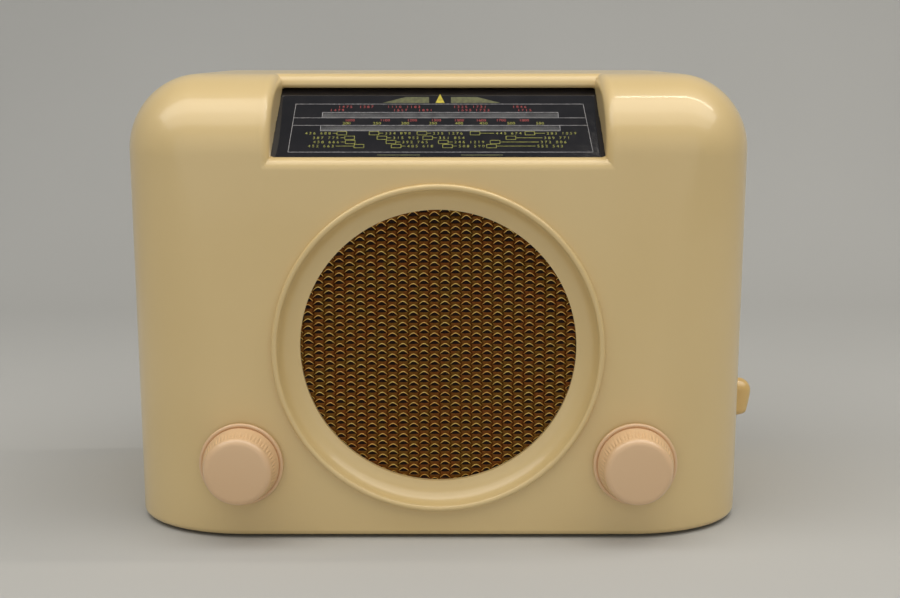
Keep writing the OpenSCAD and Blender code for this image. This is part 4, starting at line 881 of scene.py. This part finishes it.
MEDIUM_X = (-45.3, -30.3, -16.4, -2.6, 10.3, 22.4, 36.0, 50.3)


def ink_lines(ends, width):
    """Flat bars of a width between points, as rows of (x0, s0, x1, s1): the ends moved half a width aside."""
    ends = np.asarray(ends, float)
    start, stop = ends[:, :2], ends[:, 2:]
    ahead = (stop - start) / np.linalg.norm(stop - start, axis=1)[:, None]
    aside = width / 2 * np.stack([-ahead[:, 1], ahead[:, 0]], axis=-1)
    return ink_shapes(np.stack([start - aside, stop - aside, stop + aside, start + aside], axis=1))


def ink_shapes(corners):
    """Four-sided flat shapes of ink from rows of four corners, counter-clockwise seen from the front."""
    corners = np.asarray(corners, float)
    low, high = (
        np.concatenate([corners, np.full(corners.shape[:2] + (1,), INK_MID + side * INK_T / 2)], axis=-1)
        for side in (1, -1)
    )
    points = np.concatenate([low, high], axis=1).reshape(-1, 3)
    return sloped(points), copies(BOX_QUADS, len(corners), 8)


def numerals(entries, height):
    """Numbers as (text, x, s, side) set by Blender's font: side -1 ends, 0 centres and 1 starts at x.

    A figure is 0.7 of the font's size high.
    """
    points, faces, count = [], [], 0
    graph = bpy.context.evaluated_depsgraph_get
    for text, x, s, side in entries:
        curve = bpy.data.curves.new("numeral", "FONT")
        curve.body, curve.size, curve.extrude, curve.resolution_u = text, height / 0.7, INK_T / 2, 3
        curve.align_x = {-1: "RIGHT", 0: "CENTER", 1: "LEFT"}[side]
        shape = placed("numeral", curve)
        mesh = bpy.data.meshes.new_from_object(shape.evaluated_get(graph()))
        mesh.calc_loop_triangles()
        place = fetch(mesh.vertices, "co", 3)
        across, up, out = place.T
        points.append(np.stack([x + across, s - height / 2 + up, INK_MID - out], axis=-1))
        faces.append(fetch(mesh.loop_triangles, "vertices", 3, int) + count)
        count += len(place)
        bpy.data.objects.remove(shape)
        bpy.data.curves.remove(curve)
        bpy.data.meshes.remove(mesh)
    return sloped(np.vstack(points)), np.vstack(faces)


def ink(name, low, high):
    """Screen-printed ink: flat and matt, a little worn so that its colour comes and goes."""
    return mottled(name, low, 0.55, (low, high, 0.4, 0.6), (1.6, 3))


white_ink = ink("white_dial_ink", "#8f8e92", "#b4b2b4")
yellow_ink = ink("yellow_dial_ink", "#a89a2a", "#c9b935")
olive_ink = ink("olive_dial_ink", "#4f5132", "#62643c")
lime_ink = ink("lime_dial_ink", "#7f8034", "#a1a043")
red_ink = ink("red_dial_ink", "#8e3036", "#b34440")


def sides(corners):
    """The sides of closed outlines, as rows of (x0, s0, x1, s1)."""
    corners = np.asarray(corners, float)
    return np.concatenate([corners, np.roll(corners, -1, axis=-2)], axis=-1).reshape(-1, 4)


(low_x0, low_x1, low_s0, low_s1), (top_x0, top_x1, top_s0, top_s1) = WINDOWS
scale_lines = [
    (low_x0, low_s0, low_x1, low_s0), (-72.0, low_s1, 73.8, low_s1), (low_x0, low_s0, low_x0, low_s1),
    (low_x1, low_s0, low_x1, low_s1), (top_x0, top_s1, top_x1, top_s1), (-71.8, top_s0, 73.2, top_s0),
    (top_x0, top_s0, top_x0, top_s1), (top_x1, top_s0, top_x1, top_s1),
]  # fmt: skip
on_dial("dial_frame_print", ink_lines(np.vstack([sides(FRAME_CORNERS), scale_lines]), FINE_W), white_ink)
on_dial("middle_mark", ink_shapes([[(-1.5, 40.6), (3.1, 40.6), (0.85, 47.4), (0.75, 47.4)]]), yellow_ink)
wedges = [
    [(-27.9, 40.6), (-4.7, 40.6), (-4.7, 45.2), (-16.5, 45.2)],
    [(6.3, 40.6), (31.0, 40.6), (19.4, 45.2), (6.3, 45.2)],
]
lip_lines = [(-29.5, 1.5, -8.7, 1.5), (11.1, 1.5, 31.4, 1.5)]
on_dial("wedges", together(ink_shapes(wedges), ink_lines(lip_lines, LIP_LINE_W)), olive_ink)

half_w, half_h = STATION_W / 2, STATION_H / 2
stations = [(x, s, side, half_w + LEADS.get((x, s), SHORT_LEAD)) for s, row in STATIONS for x, side in row]
ring_x, ring_s = half_w * np.array([-1, 1, 1, -1]), half_h * np.array([-1, -1, 1, 1])
outlines = np.stack([sides(np.stack([x + ring_x, s + ring_s], axis=-1)) for x, s, _, _ in stations], axis=1)
lead_lines = [(x + side * half_w, s, x + side * lead, s) for x, s, side, lead in stations]
on_dial("station_boxes", ink_lines(np.vstack([outlines.reshape(-1, 4), lead_lines]), LINE_W), lime_ink)


def paired(metres):
    """A wavelength and its frequency, c / wavelength in kilohertz, with the figures set apart."""
    return " ".join(f"{metres} {299792 / metres:.0f}")


chance = np.random.default_rng(90)
station_numbers = [
    (paired(chance.integers(201, 560)), x + side * (lead + AFTER_LEAD), s, side)
    for x, s, side, lead in stations
]
medium_numbers = [(str(200 + 50 * k), x, MEDIUM_ROW, 0) for k, x in enumerate(MEDIUM_X)]
on_dial("medium_numbers", numerals(medium_numbers, 1.9), lime_ink)
on_dial("station_numbers", numerals(station_numbers, 1.8), lime_ink)
long_numbers = [(str(1000 + 100 * k + 100 * (k > 3)), x, LONG_ROW, 0) for k, x in enumerate(LONG_X)]
outer_marks = [(x, UPPER_ROW) for x in (-46.5, -36.0, -22.0, -12.5, 11.0, 20.5, 40.5)]
outer_marks += [(x, MIDDLE_ROW) for x in (-50.5, -19.0, -6.5, 13.0, 22.0, 43.0)]
outer_numbers = [(" ".join(str(chance.integers(1110, 1990))), x, s, 0) for x, s in outer_marks]
on_dial("long_numbers", numerals(long_numbers + outer_numbers, 1.75), red_ink)

# %% [markdown]
# The rest keeps its CAD shape and gets a finish. A small function puts it on nodes by name. First the
# metals. Sheet parts are zinc-plated steel, whose crystals show as a faint patchwork. Turned parts are
# bright steel or brass with fine turning marks round their axis, and the cans are drawn aluminium.


# %% Finishes on CAD nodes
def coat(finish, *names):
    """Puts a finish on CAD nodes, whose shapes stay as they are."""
    for name in names:
        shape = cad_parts[name]
        if not shape.material_slots:
            shape.data.materials.append(finish.material)
        for place in shape.material_slots:
            place.material = finish.material


# %% Metals
def drawn_metal(name, low, high, roughness, stretch=(1, 1, 1)):
    """Bare metal with fine marks in one direction, from rolling, turning or drawing."""
    metal = Finish(name, low, roughness, 1.0)
    marks = metal.speckle(1.2, 4, stretch)
    metal.tint(metal.speckle(14, 3), low, high)
    metal.vary_gloss(marks, roughness - 0.06, roughness + 0.1)
    metal.relief(marks, 0.01, 0.4)
    return metal


# Zinc plate dulls to a soft grey and keeps a faint patchwork of crystals a few millimetres across
zinc = Finish("zinc_plated_steel", "#8f918f", 0.42, 0.9)
zinc.tint(zinc.speckle(20, 3), "#85878a", "#a5a6a2")
zinc.feed("Roughness", zinc.remap(zinc.cells(7, "Color"), 0.0, 1.0, 0.34, 0.5))
zinc.relief(zinc.speckle(0.6, 2), 0.01, 0.4)
coat(zinc, "glass_clips", "dial_frame", "chassis", "gang_frame", "capacitor_clip", "lamp_holders")

# Turned steel and brass gleam in fine rings, drawn cans in upright lines; blackened screws stay dull
bright_steel = drawn_metal("bright_turned_steel", "#b4b6b8", "#c6c7c9", 0.26, (0.05, 1, 0.05))
coat(bright_steel, "tuning_spindle", "volume_spindle", "wave_spindle")
coat(bright_steel, "pointer_rail", "chassis_screws", "cord_spring")
coat(drawn_metal("blackened_steel", "#39393b", "#4a494a", 0.4), "tuning_grub_screw", "volume_grub_screw")
brass = drawn_metal("turned_brass", "#a8823a", "#bf9a4c", 0.3, (0.1, 1, 0.1))
coat(brass, "pulley_left", "pulley_right", "tuning_bush", "volume_nut")
coat(drawn_metal("brass_plated_steel", "#a89660", "#bcae7c", 0.34), "speaker_screws", "back_screws")
drawn_aluminium = drawn_metal("drawn_aluminium", "#b0b2b4", "#c4c6c8", 0.34, (1, 1, 0.04))
coat(drawn_aluminium, "transformer_can_1", "transformer_can_2", "smoothing_capacitor")
stamped_aluminium = drawn_metal("stamped_aluminium", "#b9babb", "#cccdcd", 0.3, (1, 0.2, 1))
coat(stamped_aluminium, "gang_stator", "gang_rotor", "drive_drum")

# %% [markdown]
# The painted and pressed parts come next. The loudspeaker's frame has the hammered grey enamel of its time:
# a pattern of small dimples. The magnet is plain paint over cast iron, the cone pressed black paper, and the
# output transformer a stack of lacquered iron sheets round a coil in brown paper.

# %% Painted iron and paper
hammered = Finish("grey_hammered_enamel", "#66696d", 0.34, 0.2, Coat_Weight=0.3)
dimples = hammered.cells(2.2, 0, feature="SMOOTH_F1")
hammered.tint(dimples, "#5b5e62", "#7b7e81", 0.1, 0.6)
hammered.relief(dimples, 0.12, 0.7)
coat(hammered, "speaker_frame")

# Thick paint fills the pores of the casting and leaves a soft orange peel
iron_paint = ("#3e4043", "#515356")
magnet_paint = mottled("painted_cast_iron", "#46484b", 0.42, iron_paint, (12, 4), ((1.4, 3), 0.05, 0.6))
coat(magnet_paint, "speaker_magnet")
# Pressed paper pulp: dull, with short fibres
pulp, fibres = ("#171514", "#292522"), (2.5, 4, (1, 0.3, 1))
coat(mottled("pressed_black_paper", "#1d1a18", 0.92, pulp, fibres, ((0.7, 4), 0.05, 0.7)), "speaker_cone")

# The stack shows as soft lines across it; the coil in its paper stands out of it on both sides
COIL_FROM = 0.0083
laminated = Finish("lacquered_iron_and_coil", "#4a423a", 0.5, 0.35)
lines = laminated.bands(0.9, "Y", 0.4)
iron = laminated.blend(lines, "#3a342f", "#5d554c")
paper = laminated.blend(laminated.speckle(5, 3), "#8a6a3c", "#a5834e")
off_middle = laminated.off_middle(1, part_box("output_transformer"))
is_coil = laminated.calc("GREATER_THAN", off_middle, COIL_FROM)
laminated.feed("Base Color", laminated.blend(is_coil, iron, paper))
laminated.relief(lines, 0.05, 0.6)
coat(laminated, "output_transformer")

# Matt white behind the dial throws the lamps' light forward; the pointer's red enamel is glossy
coat(mottled("matt_white_paint", "#dedace", 0.65, ("#d6d1c2", "#e4e1d6"), (18, 3)), "dial_backplate")
coat(mottled("red_pointer_paint", "#a8281c", 0.35, ("#9c2419", "#b53022"), (3, 3)), "pointer")

# %% [markdown]
# Boards, cloth and cord follow. The resin board is brown and faintly layered, the back cover pressed
# fibreboard with short fibres, and the baffle plywood with its grain along the board. The loudspeaker cloth
# is an open dark weave, drawn a little coarser than the real thread so that it shows behind the grille.

# %% Boards, cloth and cord
layers = ("#442b19", "#634327")
resin = mottled("resin_bonded_board", "#4d321e", 0.4, layers, (9, 4, (1, 1, 0.25)), ((0.8, 2), 0.02, 0.5))
coat(resin, "valve_sockets", "tag_strips", "wave_switch", "volume_control", "resistors", "socket_strip")

fibres, fibre_tones = (1.3, 5, (0.25, 1, 1)), ("#463020", "#6b4a31", 0.3, 0.7)
coat(mottled("pressed_fibreboard", "#553925", 0.78, fibre_tones, fibres, (fibres, 0.12, 0.8)), "back_cover")

grain, grain_tones = (1.1, 5, (0.06, 1, 1)), ("#86683e", "#b08f5f", 0.3, 0.7)
coat(mottled("bare_plywood", "#9a7a4c", 0.62, grain_tones, grain, (grain, 0.05, 0.6)), "baffle_board")

THREAD_MM, WIRE_MM = 0.9, 0.6
cloth = Finish("open_woven_cloth", "#220f07", 0.95, Sheen_Weight=0.1)
weave = cloth.calc("MULTIPLY", *[cloth.waves(cloth.along(axis), THREAD_MM) for axis in (0, 2)])
cloth.tint(weave, "#120603", "#30150a", -0.6, 0.6)
cloth.relief(weave, 0.1, 0.8)
coat(cloth, "grille_cloth")

# Waxed linen is dull and yellowish, and its twist shows as slanting bands
waxed_cord = Finish("waxed_linen_cord", "#b9ad8c", 0.6)
waxed_cord.tint(waxed_cord.bands(1.2, "DIAGONAL"), "#a5987a", "#cbc0a2", 0.2, 0.8)
coat(waxed_cord, "drive_cord")

# The aerial is cotton-covered wire laid side by side: the lines follow the rectangle of the frame
loop_wire = Finish("laid_aerial_wire", "#8d5f2c", 0.6)
loop_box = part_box("aerial_frame")
half_loop = (loop_box[1] - loop_box[0]) / 2
reach = [loop_wire.calc("SUBTRACT", loop_wire.off_middle(axis, loop_box), half_loop[axis]) for axis in (0, 2)]
wires = loop_wire.waves(loop_wire.calc("MAXIMUM", *reach), WIRE_MM)
loop_wire.tint(wires, "#5e3d1b", "#a8763a", -0.7, 0.7)
loop_wire.relief(wires, 0.15, 0.8)
coat(loop_wire, "aerial_frame")

# Old rubber has lost its shine and gone a little grey
perished = ("#191817", "#2a2827")
rubber = mottled("black_rubber", "#1e1d1c", 0.75, perished, (5, 4), ((0.8, 3), 0.03, 0.6), IOR=1.52)
coat(rubber, "feet", "mains_grommet")

# %% [markdown]
# Last come glass, wax and ceramic. A valve is clear glass with a silver mirror inside its top, left by the
# getter that took up the last air. The coils are fine wire under wax, the paper capacitors waxed tubes, and
# the mains dropper resistance wire under a coat of cement.

# %% Glass, wax and ceramic
# The mirror fades in between two depths under the top of the bulb, and its edge wanders
MIRROR_FROM, MIRROR_FULL, MIRROR_WANDER, CLEAR_ALPHA = 0.016, 0.009, 0.006, 0.45
for name in ("mixer_valve", "amplifier_valve", "detector_valve", "output_valve", "rectifier_valve"):
    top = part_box(name)[1].z
    bulb = Finish(name + "_glass", "#9aa3a3", 0.05, Alpha=CLEAR_ALPHA)
    height = bulb.calc("ADD", bulb.along(2), bulb.calc("MULTIPLY", bulb.speckle(8, 2), MIRROR_WANDER))
    mirror = bulb.remap(height, top - MIRROR_FROM, top - MIRROR_FULL, interpolation_type="SMOOTHSTEP")
    bulb.feed("Base Color", bulb.blend(mirror, "#59605f", "#b5b7b6"))
    bulb.feed("Metallic", mirror)
    bulb.feed("Alpha", bulb.remap(mirror, 0.0, 1.0, CLEAR_ALPHA, 1.0))
    coat(bulb, name)

# Small lamps of clear glass, faintly yellow with age
coat(mottled("lamp_glass", "#efe4c0", 0.04, ("#e6dab2", "#f4ecd0"), (4, 2), Alpha=0.5), "dial_lamps")

coil_wax = Finish("waxed_coil_windings", "#9a6a3c", 0.42, Coat_Weight=0.3)
turns = coil_wax.bands(0.7, "Z", 0.5)
coil_wax.tint(turns, "#7d4f28", "#b58350", 0.2, 0.8)
coil_wax.relief(turns, 0.1, 0.7)
coat(coil_wax, "coil_pack")

wax = ("#a27f3d", "#c9a45a")
wax_paper = mottled("waxed_paper_tube", "#b5904a", 0.5, wax, (6, 4), Subsurface_Weight=0.05)
coat(wax_paper, "paper_capacitors")

cement = Finish("cement_coated_ceramic", "#77684f", 0.88)
cement.tint(cement.speckle(4, 4), "#675a45", "#897a60")
cement.relief(cement.bands(1.4, "Z", 1.0), 0.15, 0.7)
coat(cement, "mains_dropper")

# %% [markdown]
# The stage is a seamless sheet: a floor that turns up in a wide curve to a wall behind. It is pale and
# plain, so that nothing draws the eye from the set.

# %% Stage
FLOOR_FRONT, WALL_BEHIND, SWEEP_R, WALL_TOP, STAGE_HALF = -1400.0, 1100.0, 450.0, 1900.0, 2200.0
sweep = arc((WALL_BEHIND - SWEEP_R, SWEEP_R), SWEEP_R, -90, 0, 32)
section = np.vstack([[(FLOOR_FRONT, 0)], sweep, [(WALL_BEHIND, WALL_TOP)]])
depth, rise = np.repeat(section, 2, axis=0).T
stage_points = np.stack([np.tile([-STAGE_HALF, STAGE_HALF], len(section)), depth, rise], axis=-1)
paper_sheet = mottled("pale_grey_paper", "#b8b8b5", 0.85, ("#b5b5b2", "#bbbbb8"), (700, 2))
stage_sheet = meshed("stage_sheet", stage_points, grid_faces(len(section), 2), paper_sheet)
stage_sheet.data.polygons.foreach_set("use_smooth", np.full(len(stage_sheet.data.polygons), True))

# %% [markdown]
# The photograph's light comes from overhead: the shoulder and the lip are the brightest, and the front is
# softer and deeper in colour. One wide lamp over the case lights the top and shows as a pale sheen on the
# shoulder. A second one stands further forward and lights the lip and the lower half of the ring. A narrow
# tube draws the thin streak on the right shoulder, a large weak lamp fills the front, and the world lights
# the shadows.


# %% Lights
def area_lamp(name, place, target, size, watts, colour="#ffffff"):
    """A rectangular lamp in case millimetres, turned towards its target."""
    lamp = bpy.data.lights.new(name, "AREA")
    lamp.shape, lamp.energy, lamp.color = "RECTANGLE", watts, linear(colour)[:3]
    lamp.size, lamp.size_y = size
    shape = placed(name, lamp)
    here, there = to_frame(place), to_frame(target)
    shape.location = here
    shape.rotation_euler = Vector(there - here).to_track_quat("-Z", "Y").to_euler()


area_lamp("ceiling", (0, -150, 1500), (0, -150, 0), (3.6, 0.6), 17.0, "#fffaf2")
area_lamp("ceiling_front", (0, -800, 1500), (0, -800, 0), (3.6, 0.7), 11.5, "#fffaf2")
area_lamp("tube", (815, 235, 1490), (815, 235, 0), (1.17, 0.05), 3.6, "#fff6e8")
area_lamp("front_fill", (-100, -2400, 300), (0, 0, 110), (3.4, 2.6), 11.0)
world = bpy.data.worlds.new("studio")
world.use_nodes = True
world.node_tree.nodes["Background"].inputs["Color"].default_value = linear("#e9ecf0")
world.node_tree.nodes["Background"].inputs["Strength"].default_value = 0.3
bpy.context.scene.world = world
